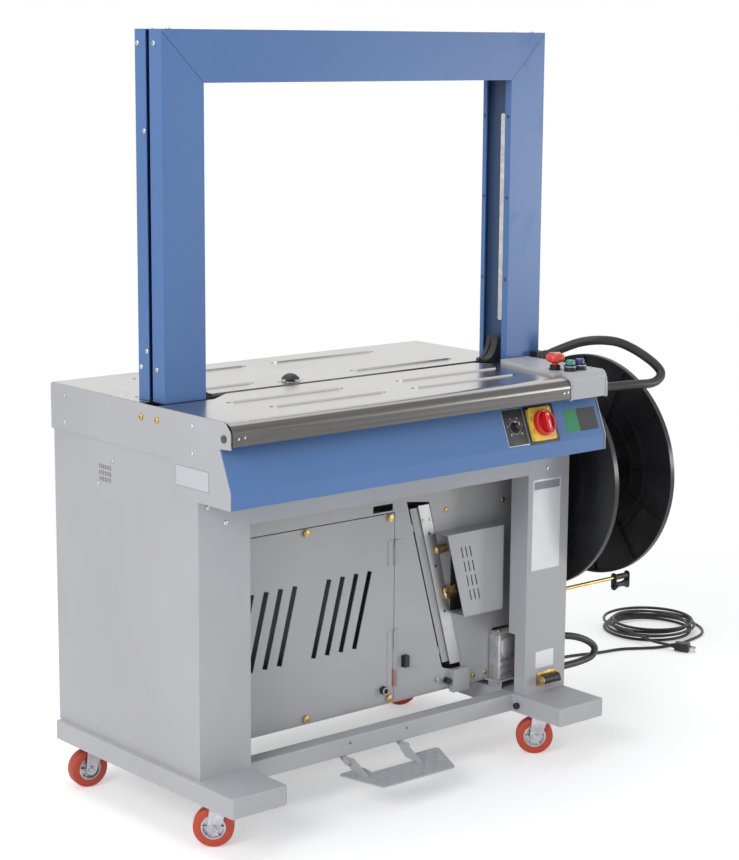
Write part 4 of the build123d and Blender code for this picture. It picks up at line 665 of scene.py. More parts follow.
def arc(centre: Pair, radius: float, start: float, end: float, steps: int) -> list[Pair]:
    """Return points of an arc between two angles in degrees."""
    points = []
    for step in range(steps + 1):
        angle = math.radians(start + (end - start) * step / steps)
        points.append((centre[0] + radius * math.cos(angle), centre[1] + radius * math.sin(angle)))
    return points


def rounded_outline(half_width: float, half_height: float, corner: float, middle: Pair = (0.0, 0.0)) -> list[Pair]:
    """Return a rectangle with round corners."""
    points: list[Pair] = []
    for sign_x, sign_y, start in ((1, 1, 0), (-1, 1, 90), (-1, -1, 180), (1, -1, 270)):
        centre = (middle[0] + sign_x * (half_width - corner), middle[1] + sign_y * (half_height - corner))
        points.extend(arc(centre, corner, start, start + 90, 5))
    return points


def smooth_points(points: Sequence[Triple], parts: int) -> list[Vector]:
    """Return points of an even line through the given ones, with parts between each two."""
    line = [Vector(point) for point in points]
    line = [line[0] * 2 - line[1], *line, line[-1] * 2 - line[-2]]
    result = []
    for before, start, end, after in zip(line, line[1:], line[2:], line[3:]):
        for step in range(parts):
            t = step / parts
            result.append(
                0.5
                * (
                    2 * start
                    + (end - before) * t
                    + (2 * before - 5 * start + 4 * end - after) * t**2
                    + (3 * start - before - 3 * end + after) * t**3
                )
            )
    result.append(line[-2])
    return result


# ---------------------------------------------------------------- geometry trees
class GeometryTree(NodeTree):
    """A Geometry Nodes tree with named inputs."""

    def __init__(self, name: str, **inputs: str) -> None:
        """Start the tree.

        Args:
            name: The tree's name.
            inputs: The socket type of each input, by its name.
        """
        super().__init__(bpy.data.node_groups.new(name, "GeometryNodeTree"))
        face = self.tree.interface
        for way in ("OUTPUT", "INPUT"):
            face.new_socket("Geometry", in_out=way, socket_type="NodeSocketGeometry")
        self.keys = {
            title: face.new_socket(title, in_out="INPUT", socket_type=f"NodeSocket{kind}").identifier
            for title, kind in inputs.items()
        }
        self.source = self.node("NodeGroupInput").outputs
        self.target = self.node("NodeGroupOutput").inputs[0]

    def close(self, geometry: bpy.types.NodeSocket) -> None:
        """Realize the instances, set the material and end the tree."""
        real = self.node("GeometryNodeRealizeInstances", Geometry=geometry).outputs[0]
        painted = self.node("GeometryNodeSetMaterial", Geometry=real, Material=self.source["Finish"])
        self.feed(self.target, painted.outputs[0])

    def run(self, carrier: bpy.types.Mesh, name: str, **values: Any) -> bpy.types.Mesh:
        """Run the tree on a carrier mesh.

        Args:
            carrier: The mesh that the tree starts from.
            name: The name of the result.
            values: The tree's inputs, by name.

        Returns:
            A plain mesh of the result.
        """
        holder = link(bpy.data.objects.new(f"{name}_holder", carrier))
        modifier = holder.modifiers.new("made", "NODES")
        modifier.node_group = self.tree
        for title, value in values.items():
            modifier[self.keys[title]] = value
        bpy.context.view_layer.update()
        graph = bpy.context.evaluated_depsgraph_get()
        mesh = bpy.data.meshes.new_from_object(holder.evaluated_get(graph), depsgraph=graph)
        holder.modifiers.clear()
        bpy.data.objects.remove(holder)
        mesh.name = name
        return mesh


class ScatterTree(GeometryTree):
    """Puts one shape at every point, turned to the point's own way and spun by a seeded turn."""

    SEED: ClassVar[int] = 11

    def __init__(self) -> None:
        """Build the tree."""
        super().__init__("scattered_shapes", Shape="Object", Spin="Float", Seed="Int", Finish="Material")
        out = self.source
        shape = self.node("GeometryNodeObjectInfo", Object=out["Shape"])
        way = self.node("GeometryNodeInputNamedAttribute", {"data_type": "FLOAT_VECTOR"}, Name="way")
        stand = self.node("FunctionNodeAlignRotationToVector", {"axis": "Z"}, Vector=way.outputs["Attribute"])
        spin = self.node("FunctionNodeRandomValue", {"data_type": "FLOAT"}, Seed=out["Seed"], in_3=out["Spin"])
        about = self.node("FunctionNodeAxisAngleToRotation", Angle=spin.outputs[1])
        spun = self.node("FunctionNodeRotateRotation", {"rotation_space": "LOCAL"}, Rotation=stand.outputs[0],
                         Rotate_By=about.outputs[0])
        placed = self.node("GeometryNodeInstanceOnPoints", Points=out["Geometry"], Instance=shape.outputs["Geometry"],
                           Rotation=spun.outputs[0])
        self.close(placed.outputs[0])

    def scatter(self, name: str, shape: Shape, places: Sequence[Heading], body: str, finish: Finish,
                spin: float = 0.0, stands_for: Iterable[str] = ()) -> bpy.types.Object:
        """Put a shape at every place and make one piece of them.

        Args:
            name: The piece's name.
            shape: The shape, standing on +Z, in millimetres.
            places: Each place with the way that it points, in machine millimetres.
            body: The body that the piece rides on.
            finish: The finish of them all.
            spin: The largest seeded turn about the way, in radians.
            stands_for: The CAD nodes that the piece replaces.

        Returns:
            The piece.
        """
        carrier = bpy.data.meshes.new(f"{name}_places")
        carrier.from_pydata([layout.at(*place) for place, _ in places], [], [])
        ways = carrier.attributes.new("way", "FLOAT_VECTOR", "POINT")
        for index, (_, way) in enumerate(places):
            ways.data[index].vector = way
        pattern = link(bpy.data.objects.new(f"{name}_pattern", shape.to_mesh(name, Matrix.Scale(MM, 4))))
        mesh = self.run(carrier, name, Shape=pattern, Spin=spin, Seed=self.SEED, Finish=finish.material())
        bpy.data.objects.remove(pattern)
        for attribute in [a for a in mesh.attributes if a.name == "way"]:
            mesh.attributes.remove(attribute)
        return put(name, mesh, body, [finish], stands_for)


class RingTree(GeometryTree):
    """A ring of straight ribs that stand out from a centre, for spokes and dial marks."""

    def __init__(self) -> None:
        """Build the tree."""
        sizes = {name: "Float" for name in ("Radius", "Length", "Width", "Height")}
        super().__init__("ring_of_ribs", Count="Int", **sizes, Finish="Material")
        out = self.source
        ring = self.node("GeometryNodeMeshCircle", Vertices=out["Count"], Radius=out["Radius"])
        place = self.node("GeometryNodeInputPosition")
        stand = self.node("FunctionNodeAlignRotationToVector", {"axis": "X"}, Vector=place.outputs[0])
        size = self.node("ShaderNodeCombineXYZ", X=out["Length"], Y=out["Width"], Z=out["Height"])
        rib = self.node("GeometryNodeMeshCube", Size=size.outputs[0], Vertices_X=3, Vertices_Y=2)
        placed = self.node("GeometryNodeInstanceOnPoints", Points=ring.outputs[0], Instance=rib.outputs[0],
                           Rotation=stand.outputs[0])
        self.close(placed.outputs[0])


class SpringTree(GeometryTree):
    """A wound wire spring."""

    def __init__(self) -> None:
        """Build the tree."""
        sizes = {name: "Float" for name in ("Turns", "Radius", "Length", "Wire")}
        super().__init__("wound_spring", **sizes, Finish="Material")
        out = self.source
        line = self.node("GeometryNodeCurveSpiral", Resolution=20, Rotations=out["Turns"], Start_Radius=out["Radius"],
                         End_Radius=out["Radius"], Height=out["Length"])
        section = self.node("GeometryNodeCurvePrimitiveCircle", Resolution=8, Radius=out["Wire"])
        tube = self.node("GeometryNodeCurveToMesh", Curve=line.outputs[0], Profile_Curve=section.outputs[0],
                         Fill_Caps=True)
        self.close(tube.outputs[0])


def screw_head(radius: float, height: float, cross: bool = True) -> Shape:
    """Return a domed head with a cross recess, standing on +Z."""
    dome = [(0.0, radius * 0.98), (height * 0.35, radius), (height * 0.62, radius * 0.93),
            (height * 0.85, radius * 0.76), (height, radius * 0.50)]
    if not cross:
        return Shape().lathe([(0.0, 0.0), *dome, (height, 0.0)], STAY, 20)
    steps, floor = 24, height * 0.45
    star = []
    for a, b in circle(steps):
        off_arm = abs((math.degrees(math.atan2(b, a)) + 45) % 90 - 45)
        reach = radius * (0.46 if off_arm < 8 else 0.17 if off_arm > 22 else 0.22)
        star.append((reach * a, reach * b))
    spots = [[(0.0, 0.0, 0.0)], *([(r * a, r * b, z) for a, b in circle(steps)] for z, r in dome)]
    spots += [[(a, b, height) for a, b in star], [(a * 0.8, b * 0.8, floor) for a, b in star], [(0.0, 0.0, floor)]]
    part = bmesh.new()
    stitch(part, [[part.verts.new(spot) for spot in ring] for ring in spots], steps)
    return Shape().add(part)


# ---------------------------------------------------------------- camera and studio
@dataclass
class Camera:
    """The camera at the photograph's viewing angle."""

    place: Triple = (-2768.7, -3322.9, 1524.6)
    yaw: float = 40.3
    pitch: float = 10.4
    roll: float = 0.4
    focal_pixels: float = 2126.1
    sensor: float = 36.0
    farthest: float = 60.0

    def build(self) -> None:
        """Make the camera and set it as the scene's own."""
        yaw, pitch, roll = (math.radians(a) for a in (self.yaw, self.pitch, self.roll))
        ahead = Vector((math.sin(yaw) * math.cos(pitch), math.cos(yaw) * math.cos(pitch), -math.sin(pitch)))
        right = Vector((math.cos(yaw), -math.sin(yaw), 0.0))
        up = right.cross(ahead)
        side = right * math.cos(roll) + up * math.sin(roll)
        top = up * math.cos(roll) - right * math.sin(roll)
        data = bpy.data.cameras.new("studio_camera")
        data.sensor_width = self.sensor
        data.lens = self.focal_pixels / max(IMAGE_WIDTH, IMAGE_HEIGHT) * self.sensor
        data.clip_end = self.farthest
        camera = link(bpy.data.objects.new("studio_camera", data))
        turn = Matrix((side, top, -ahead)).transposed().to_4x4()
        camera.matrix_world = Matrix.Translation(layout.at(*self.place)) @ turn
        bpy.context.scene.camera = camera


@dataclass
class Softbox:
    """One soft area light."""

    name: str
    place: Triple
    aim: Triple
    size: Pair
    power: float

    def build(self) -> None:
        """Make the light, aimed at its point."""
        data = bpy.data.lights.new(self.name, "AREA")
        data.shape = "RECTANGLE"
        data.size, data.size_y = self.size
        data.energy = self.power
        lamp = link(bpy.data.objects.new(self.name, data))
        start = layout.at(*self.place)
        way = layout.at(*self.aim) - start
        lamp.matrix_world = Matrix.Translation(start) @ way.to_track_quat("-Z", "Y").to_matrix().to_4x4()


@dataclass
class Studio:
    """The plain pale floor, the white surround and the soft lights."""

    ambient: float = 0.48
    ambient_tint: tuple[float, ...] = (0.98, 0.99, 1.0, 1.0)
    floor_radius: float = 9.0
    floor_level: float = -0.0004
    pool_inner: float = 1.3
    pool_outer: float = 2.6
    floor_glow: float = 0.36
    lights: list[Softbox] = field(
        default_factory=lambda: [
            Softbox("key_softbox", (-4500, -1900, 3100), (0, 0, 800), (2.4, 2.4), 120.0),
            Softbox("right_softbox", (4300, -3700, 900), (0, 0, 480), (0.9, 0.9), 46.0),
            Softbox("top_softbox", (-300, 600, 4600), (0, 0, 700), (3.0, 3.0), 54.0),
        ]
    )

    def build(self) -> None:
        """Make the world, the floor and the lights, and set the view."""
        bpy.context.scene.view_settings.view_transform = "Standard"
        self.surround()
        self.floor()
        for light in self.lights:
            light.build()

    def surround(self) -> None:
        """Make the world white to the camera and to reflections, and plain ambient light else."""
        world = bpy.data.worlds.new("studio_world")
        bpy.context.scene.world = world
        world.use_nodes = True
        sky = NodeTree(world.node_tree)
        sky.tree.nodes.clear()
        rays, either = sky.node("ShaderNodeLightPath").outputs, {"operation": "MAXIMUM"}
        seen = sky.node("ShaderNodeMath", either, in_0=rays["Is Camera Ray"], in_1=rays["Is Glossy Ray"])
        seen = sky.node("ShaderNodeMath", either, in_0=seen.outputs[0], in_1=rays["Is Transmission Ray"])
        plain = sky.node("ShaderNodeBackground", Color=self.ambient_tint, Strength=self.ambient)
        white = sky.node("ShaderNodeBackground", Color=(1.0, 1.0, 1.0, 1.0), Strength=1.0)
        mixed = sky.node("ShaderNodeMixShader", in_0=seen.outputs[0], in_1=plain.outputs[0], in_2=white.outputs[0])
        sky.node("ShaderNodeOutputWorld", in_0=mixed.outputs[0])

    def floor(self) -> None:
        """Make the floor, which fades to the white surround away from the machine."""
        part = bmesh.new()
        bmesh.ops.create_circle(part, cap_ends=True, segments=96, radius=self.floor_radius)
        mesh = bpy.data.meshes.new("studio_floor")
        part.to_mesh(mesh)
        part.free()
        middle = layout.at(0.0, 0.0, 0.0)
        mesh.transform(shift(middle.x, middle.y, self.floor_level))
        floor = link(bpy.data.objects.new("studio_floor", mesh))
        canvas = Canvas("pale_floor")
        canvas.set(Base_Color=(0.90, 0.90, 0.90, 1.0), Roughness=0.9, Specular_IOR_Level=0.1)
        rays = canvas.node("ShaderNodeLightPath").outputs
        seen = Wire(canvas, rays["Is Camera Ray"]).math("MAXIMUM", Wire(canvas, rays["Is Glossy Ray"]))
        x, y = canvas.axis("X") - middle.x, canvas.axis("Y") - middle.y
        fade = (x * x + y * y).math("SQRT").band(self.pool_inner, self.pool_outer)
        glow = canvas.node("ShaderNodeEmission", Strength=seen * self.floor_glow)
        lit = canvas.node("ShaderNodeAddShader", in_0=canvas.surface.outputs[0], in_1=glow.outputs[0])
        white = canvas.node("ShaderNodeEmission", Strength=1.0)
        mixed = canvas.node("ShaderNodeMixShader", in_0=fade * seen, in_1=lit.outputs[0], in_2=white.outputs[0])
        canvas.feed(canvas.output.inputs["Surface"], mixed.outputs[0])
        mesh.materials.append(canvas.material)


# ---------------------------------------------------------------- mains lead
@dataclass
class MainsLead:
    """The mains cord from its gland over the floor into its loose coil, with the moulded plug."""

    diameter: float = 7.5
    rest_height: float = 3.95
    coil_centre: Pair = (1302.0, 329.0)
    coil_heading: float = -40.3
    start_angle: float = -45.0
    end_angle: float = 2030.0
    layer_radii: tuple[float, ...] = (140.0, 92.0, 119.0, 90.0, 125.0)
    layer_step: float = 8.4
    knots_per_layer: int = 6
    points_per_knot: int = 4
    exit: Triple = (476.8, 255.0, 175.0)
    relief_length: float = 26.0
    free_route: tuple[Triple, ...] = (
        (476.8, 255.0, 175.0), (512.0, 255.5, 175.0), (556.0, 256.0, 134.0), (592.0, 259.0, 74.0),
        (630.0, 263.0, 24.0), (688.0, 269.0, 3.95), (770.0, 281.0, 3.95), (868.0, 290.0, 3.95), (955.0, 284.0, 3.95),
    )
    floor_route: tuple[Pair, ...] = ((-164.0, -234.0), (-103.0, -195.0), (-52.0, -188.0), (0.0, -180.0))
    last_run: float = 58.0
    tail_end: Triple = (22.0, -184.5, 13.0)
    tail_way: Triple = (0.92, -0.39, -0.02)
    leave_step: Pair = (32.0, -1.5)
    tail_step: Pair = (40.0, 3.5)

    def swung(self, a: float, b: float) -> Pair:
        """Turn a way over the floor from the coil's own frame into the machine's."""
        heading = math.radians(self.coil_heading)
        return a * math.cos(heading) - b * math.sin(heading), a * math.sin(heading) + b * math.cos(heading)

    def coil_place(self, a: float, b: float, z: float) -> Vector:
        """Turn a place of the coil's own frame into machine millimetres."""
        x, y = self.swung(a, b)
        return Vector((self.coil_centre[0] + x, self.coil_centre[1] + y, z))

    def coil_way(self, a: float, b: float, c: float = 0.0) -> Vector:
        """Turn a way of the coil's own frame into the machine's."""
        return Vector((*self.swung(a, b), c)).normalized()

    def coil_turns(self) -> list[Vector]:
        """Return the points of the coil's turns, which spiral in and out, layer on layer."""
        layers = len(self.layer_radii) - 1
        count = layers * self.knots_per_layer * self.points_per_knot
        span = math.radians(self.end_angle - self.start_angle)
        spread = 1.0 / ((3.0 + math.cos(span / count)) / 4.0)
        points = []
        for index in range(1, count + 1):
            position = layers * index / count
            layer = min(int(position), layers - 1)
            inner, outer = self.layer_radii[layer:layer + 2]
            reach = (inner + (outer - inner) * (position - layer)) * spread
            angle = math.radians(self.start_angle) + span * index / count
            height = self.rest_height + self.layer_step * self.climb(position, layers)
            points.append(self.coil_place(reach * math.cos(angle), reach * math.sin(angle), height))
        return points

    def climb(self, position: float, layers: int) -> float:
        """Return how many layers up the cord lies at a position along the coil."""
        level = 0.0
        for edge in range(1, layers):
            part = min(max((position - edge) * self.knots_per_layer / 2 + 0.5, 0.0), 1.0)
            level += part * part * (3 - 2 * part)
        return level

    def route(self) -> list[Vector]:
        """Return the cord's control points in machine millimetres."""
        points = [Vector(point) for point in self.free_route]
        points += [self.coil_place(a, b, self.rest_height) for a, b in self.floor_route]
        angle, radius = math.radians(self.start_angle), self.layer_radii[0]
        cosine, sine = math.cos(angle), math.sin(angle)
        layer_turn = math.radians(self.end_angle - self.start_angle) / (len(self.layer_radii) - 1)
        change = (self.layer_radii[1] - radius) / layer_turn
        way = self.coil_way(change * cosine - radius * sine, change * sine + radius * cosine)
        start = self.coil_place(radius * cosine, radius * sine, self.rest_height) - way * self.diameter
        turns = self.coil_turns()
        points += [start - way * self.last_run, start, *turns]
        leave = (turns[-1] - turns[-2]).normalized()
        tail, tail_way = self.coil_place(*self.tail_end), self.coil_way(*self.tail_way)
        for point, step, (run, rise) in ((turns[-1], leave, self.leave_step), (tail, -tail_way, self.tail_step)):
            points.append(point + step * run + Vector((0, 0, rise)))
        return [*points, tail, tail + tail_way * self.diameter]

    def build(self) -> None:
        cord = self.make_cord()
        line = self.centre_line(cord)
        relief = self.make_relief(line)
        plug = self.make_plug()
        length = sum((b - a).length for a, b in zip(line, line[1:]))
        LOG.info("mains cord of %.2f m", length)

    def make_cord(self) -> bpy.types.Object:
        """Make the cord as one spline through the route."""
        curve = bpy.data.curves.new("mains_lead", "CURVE")
        curve.dimensions = "3D"
        spline = curve.splines.new("NURBS")
        points = [layout.at(*point) for point in self.route()]
        spline.points.add(len(points) - 1)
        for target, point in zip(spline.points, points):
            target.co = (*point, 1.0)
        spline.order_u = 3
        spline.use_endpoint_u = True
        spline.resolution_u = 6
        curve.bevel_depth = self.diameter * MM / 2
        curve.bevel_resolution = 4
        curve.use_fill_caps = True
        curve.materials.append(CORD_RUBBER.material())
        cord = link(bpy.data.objects.new("mains_lead", curve))
        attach(cord, "frame")
        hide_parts("mains_cord", "cord_coil")
        return cord

    def centre_line(self, cord: bpy.types.Object) -> list[Vector]:
        """Read the points of the cord's line from its spline, in frame metres."""
        plain = cord.data.copy()
        plain.bevel_depth = 0.0
        probe = link(bpy.data.objects.new("cord_line_probe", plain))
        graph = bpy.context.evaluated_depsgraph_get()
        mesh = bpy.data.meshes.new_from_object(probe.evaluated_get(graph), depsgraph=graph)
        line = [vertex.co.copy() for vertex in mesh.vertices]
        bpy.data.objects.remove(probe)
        bpy.data.meshes.remove(mesh)
        bpy.data.curves.remove(plain)
        return line

    def make_relief(self, line: Sequence[Vector]) -> bpy.types.Object:
        """Make the tapered, ringed strain relief along the first stretch of the cord."""
        points, radii, done = [], [], 0.0
        step = 0.6
        reach = 0.0
        for start, end in zip(line, line[1:]):
            gap = (end - start).length / MM
            while done <= reach + gap and done <= self.relief_length:
                points.append((start + (end - start) * ((done - reach) / gap) - layout.origin) / MM)
                taper = 7.6 - 3.1 * done / self.relief_length
                ringed = 0.55 if (done % 4.0) > 2.4 and done > 4.0 else 0.0
                radii.append(taper - ringed)
                done += step
            reach += gap
        return place_shape("cord_strain_relief", Shape().pipe(points, radii, 20), "frame", [CORD_RUBBER])

    def make_plug(self) -> bpy.types.Object:
        """Make the moulded plug with its finger ribs, blades and earth pin."""
        way = self.coil_way(*self.tail_way)
        entry = self.coil_place(*self.tail_end) + way * self.diameter
        side = way.cross(Vector(UP)).normalized()
        top = side.cross(way)
        turn = Matrix((side, -top, way)).transposed().to_4x4()
        place = Matrix.Translation(entry) @ turn
        shape, bright = Shape(), 1
        neck = [(0.0, 0.0), (0.0, 4.6), (0.4, 4.9)]
        for ring in range(4):
            base = 1.2 + ring * 2.6
            neck += [(base, 5.3 + ring * 0.45), (base + 1.5, 5.5 + ring * 0.45), (base + 1.8, 4.7 + ring * 0.45)]
        neck += [(12.2, 6.8), (12.6, 0.0)]
        shape.lathe(neck, place, 24)
        shape.prism(rounded_outline(12.4, 10.0, 4.5), place @ shift(0, 0, 11.5), 14.0, 1.6)
        for rib in range(3):
            lift = place @ shift(0, 0, 14.5 + rib * 4.0)
            shape.prism(rounded_outline(13.6, 11.1, 4.8), lift, 2.2, 0.8)
        shape.prism(rounded_outline(13.9, 11.4, 5.0), place @ shift(0, 0, 25.0), 23.0, 2.2)
        for x in (-6.3, 6.3):
            shape.block((x - 0.8, -3.2, 47.5), (x + 0.8, 3.2, 64.0), 0.35, bright, place)
        pin = [(0.0, 0.0), (0.0, 2.4), (15.6, 2.4), (17.4, 1.5), (18.0, 0.0)]
        shape.lathe(pin, place @ shift(0, 8, 47.8), 16, bright)
        return place_shape("moulded_plug", shape, "frame", [CORD_RUBBER, NICKEL], ["mains_plug"])


# ---------------------------------------------------------------- running gear
def hexagon(radius: float) -> list[Pair]:
    """Return the outline of a hexagon by its corner radius."""
    return arc((0.0, 0.0), radius, 0.0, 300.0, 5)


@dataclass
class Castor:
    """One swivel castor: pressed fork, ball race, axle nuts, spoked hub and tyre."""

    name: str
    place: Pair
    heading: float
    trail: float = 25.0
    wheel_radius: float = 40.0
    crown_top: float = 123.7
    fork_half: float = 18.0
    sheet: float = 3.0

    def stand(self) -> Matrix:
        """Return the castor's own place."""
        return shift(*self.place, 0.0) @ turned(self.heading)

    def build(self) -> None:
        """Make the fork and the wheel."""
        self.fork()
        self.wheel()

    def fork(self) -> None:
        """Make the crown, the legs and the axle's nuts."""
        stand, shape = self.stand(), Shape()
        top = self.crown_top
        crown = [(top - 5, 6.4), (top - 5, 28.4), (top - 4, 30), (top - 1, 30), (top, 29), (top, 6.4)]
        shape.lathe(crown, stand, 40)
        race = [(top - 8.4, 11), (top - 8.4, 19), (top - 7.4, 22), (top - 5, 24), (top - 5, 11)]
        shape.lathe(race, stand, 32)
        axle = (self.trail, self.wheel_radius)
        outline = [(-19.0, top - 3), *arc(axle, 12.0, 205.0, 375.0, 12), (27.5, top - 3)]
        for near in (self.fork_half + self.sheet, -self.fork_half):
            plate = stand @ facing((0.0, near, 0.0), RIGHT, UP)
            shape.prism(outline, plate, self.sheet, 0.9)
        for side in (-1.0, 1.0):
            seat = stand @ way_matrix((axle[0], side * (self.fork_half + self.sheet), axle[1]), (0, side, 0))
            shape.lathe([(0, 0), (0, 8.6), (0.9, 8.6), (0.9, 0)], seat, 24)
            shape.prism(hexagon(7.6), seat @ shift(0, 0, 0.9), 3.2, 0.5)
            shape.lathe([(4.1, 0), (4.1, 3.6), (4.9, 3.0), (4.9, 0)], seat, 16)
        place_shape(f"castor_fork_detail_{self.name}", shape, f"castor_{self.name}", [ZINC],
                    [f"castor_fork_{self.name}"])

    def wheel(self) -> None:
        """Make the tyre, the rim and the hub."""
        axis = self.stand() @ way_matrix((self.trail, 0.0, self.wheel_radius), BACK)
        shape, rubber = Shape(), 1
        half = 14.0
        shoulder = [(half, 24.0), (half, 35.2), (half - 0.8, 37.6), (half - 2.5, 39.2), (half - 5.0, 40.0)]
        tread = [(-height, radius) for height, radius in shoulder] + shoulder[::-1]
        shape.lathe(tread, axis, 64, rubber)
        shape.lathe([(-13.2, 21.2), (-13.2, 24.6), (13.2, 24.6), (13.2, 21.2)], axis, 48)
        shape.lathe([(-3.6, 9.0), (-3.6, 22.0), (3.6, 22.0), (3.6, 9.0)], axis, 40)
        hub = [(-17, 5.2), (-17, 8.4), (-15.8, 10), (15.8, 10), (17, 8.4), (17, 5.2)]
        shape.lathe(hub, axis, 32)
        for index in range(6):
            turn = axis @ turned(60 * index)
            shape.block((9.0, -1.3, -10.0), (22.0, 1.3, 10.0), 0.5, 0, turn)
        place_shape(f"castor_wheel_detail_{self.name}", shape, f"wheel_{self.name}", [ZINC, TYRE],
                    [f"castor_wheel_{self.name}"])


@dataclass
class Pedal:
    """The raised lugs of the pedal's tread plate."""

    middle: float = -39.0
    rear: Pair = (-172.0, 68.0)
    front: Pair = (-270.0, 60.0)
    rear_half: float = 136.0
    front_half: float = 96.0
    plate: float = 3.0
    pitch: float = 15.5
    margin: float = 10.0
    notch: tuple[float, float, float] = (-112.0, 14.0, -204.0)

    def build(self, tree: ScatterTree) -> None:
        """Make the two sets of crossing lugs."""
        run = Vector((0.0, self.front[0] - self.rear[0], self.front[1] - self.rear[1]))
        length = run.length
        run.normalize()
        normal = Vector(RIGHT).cross(run).normalized()
        normal = normal if normal.z > 0 else -normal
        sets: tuple[list[Heading], list[Heading]] = ([], [])
        rows = int(length / self.pitch)
        for row in range(rows):
            down = self.margin + row * self.pitch
            half = self.rear_half + (self.front_half - self.rear_half) * down / length - self.margin
            spot = Vector((0.0, *self.rear)) + run * down + normal * self.plate
            for column in range(-16, 17):
                x = self.middle + column * self.pitch
                inside_notch = self.notch[0] < x < self.notch[1] and spot.y > self.notch[2]
                if abs(x - self.middle) < half and down < length - self.margin and not inside_notch:
                    sets[(row + column) % 2].append(((x, spot.y, spot.z), tuple(normal)))
        lens = [(8.6, 0.0), (4.0, 1.7), (-4.0, 1.7), (-8.6, 0.0), (-4.0, -1.7), (4.0, -1.7)]
        for index, places in enumerate(sets):
            turn = turned(45 + 90 * index)
            lug = Shape().prism(lens, turn, 1.5, 0.5)
            tree.scatter(f"pedal_lugs_{index + 1}", lug, places, "pedal", FOOT_PAINT)


# ---------------------------------------------------------------- screws
@dataclass
class Screws:
    """Every screw head on the machine, by the sheet that it holds."""

    plate_left: float = -521.0
    plate_right: float = 462.5
    side_left: float = -519.0
    leg_front: float = -180.0
    arch_outer: float = 496.0
    arch_top: float = 1542.0
    panel_front: float = -74.0
    end_heights: Pair = (1516.0, 905.0)
    gap_heights: Pair = (1354.0, 937.5)
    rivet_heights: Triple = (1019.9, 1194.8, 1366.1)

    def pale(self) -> list[Heading]:
        """Return the nickel screws of the sheets and the arch."""
        places: list[Heading] = []
        for y, z in ((272, 819), (272, 766), (-165, 820), (-165, 768)):
            places.append(((self.plate_left, y, z), LEFT))
            places.append(((self.plate_right, y, z), RIGHT))
        places += [((self.side_left, y, z), LEFT) for y, z in ((106, 711), (158, 659))]
        places += [((x, self.leg_front, z), FRONT) for x, z in ((-497, 666), (-456, 631), (396, 629))]
        for side, way in ((-1.0, LEFT), (1.0, RIGHT)):
            for z in self.end_heights:
                places += [((side * self.arch_outer, y, z), way) for y in (-19.0, 34.0)]
            places += [((side * self.arch_outer, 14.0, z), way) for z in self.gap_heights]
        for x in (-470.0, 470.0):
            places += [((x, y, self.arch_top), UP) for y in (-28.0, 28.0)]
        return places

    def rivets(self) -> list[Heading]:
        """Return the rivets on the inner faces of the arch's legs."""
        sides = ((-400.0, RIGHT), (400.0, LEFT))
        return [((side, y, z), way) for z in self.rivet_heights for side, way in sides for y in (-34.0, 37.5)]

    def build(self, tree: ScatterTree) -> None:
        """Make the heads."""
        tree.scatter("nickel_screw_heads", screw_head(5.0, 2.6), self.pale(), "frame", NICKEL, spin=1.5,
                     stands_for=["pale_screws"])
        tree.scatter("arch_rivets", screw_head(3.6, 2.0, cross=False), self.rivets(), "frame", TRACK_PAINT)
        flat = [((x, y, 841.9), UP) for x in (-493.0, 440.0) for y in (285.0, 91.0)]
        tree.scatter("table_screw_heads", screw_head(4.2, 0.5), flat, "frame", NICKEL, spin=1.5)
        bolts = [((464.5, y, z), RIGHT) for y in (-66.0, 10.0) for z in (535.0, 625.0)]
        bolt = Shape().prism(hexagon(8.0), STAY, 5.4, 0.7)
        bolt.lathe([(5.4, 0), (5.4, 3.9), (6.0, 3.4), (6.0, 0)], STAY, 14)
        tree.scatter("reel_bracket_bolts", bolt, bolts, "frame", ZINC, spin=1.0)
        brass = [((x, self.panel_front, z), FRONT) for x, z in ((286, 166), (322, 167), (200, 547), (367, 547))]
        tree.scatter("brass_screw_heads", screw_head(5.6, 3.0), brass, "frame", BRASS, spin=1.5)
        foot_bolts: list[Heading] = []
        for y in (0.5, -52.0):
            foot_bolts += [((self.plate_left, y, 815.0), LEFT), ((self.plate_right, y, 815.0), RIGHT)]
        tree.scatter("arch_foot_bolts", screw_head(6.5, 4.0), foot_bolts, "frame", BRASS, spin=1.5)
        lip = [((x, -288.7, z), FRONT) for x, z in ((-505, 812), (-491, 813), (330, 811), (341, 812))]
        tree.scatter("lip_rivets", screw_head(2.4, 0.7, cross=False), lip, "front_table", NICKEL)
        castor_rivets: list[Heading] = []
        for x0 in (-466.5, 394.5):
            for y0 in (-193.0, 254.0):
                for dx, dy in ((-38, -38), (38, -38), (-38, 38), (38, 38)):
                    castor_rivets.append(((x0 + dx, y0 + dy, 129.0), (0.0, 0.0, -1.0)))
        nut = Shape().prism(hexagon(6.4), STAY, 5.0, 0.5)
        nut.lathe([(5.0, 0), (5.0, 3.2), (7.4, 3.2), (7.8, 2.6), (7.8, 0)], STAY, 14)
        tree.scatter("castor_plate_nuts", nut, castor_rivets, "frame", ZINC, spin=1.0)


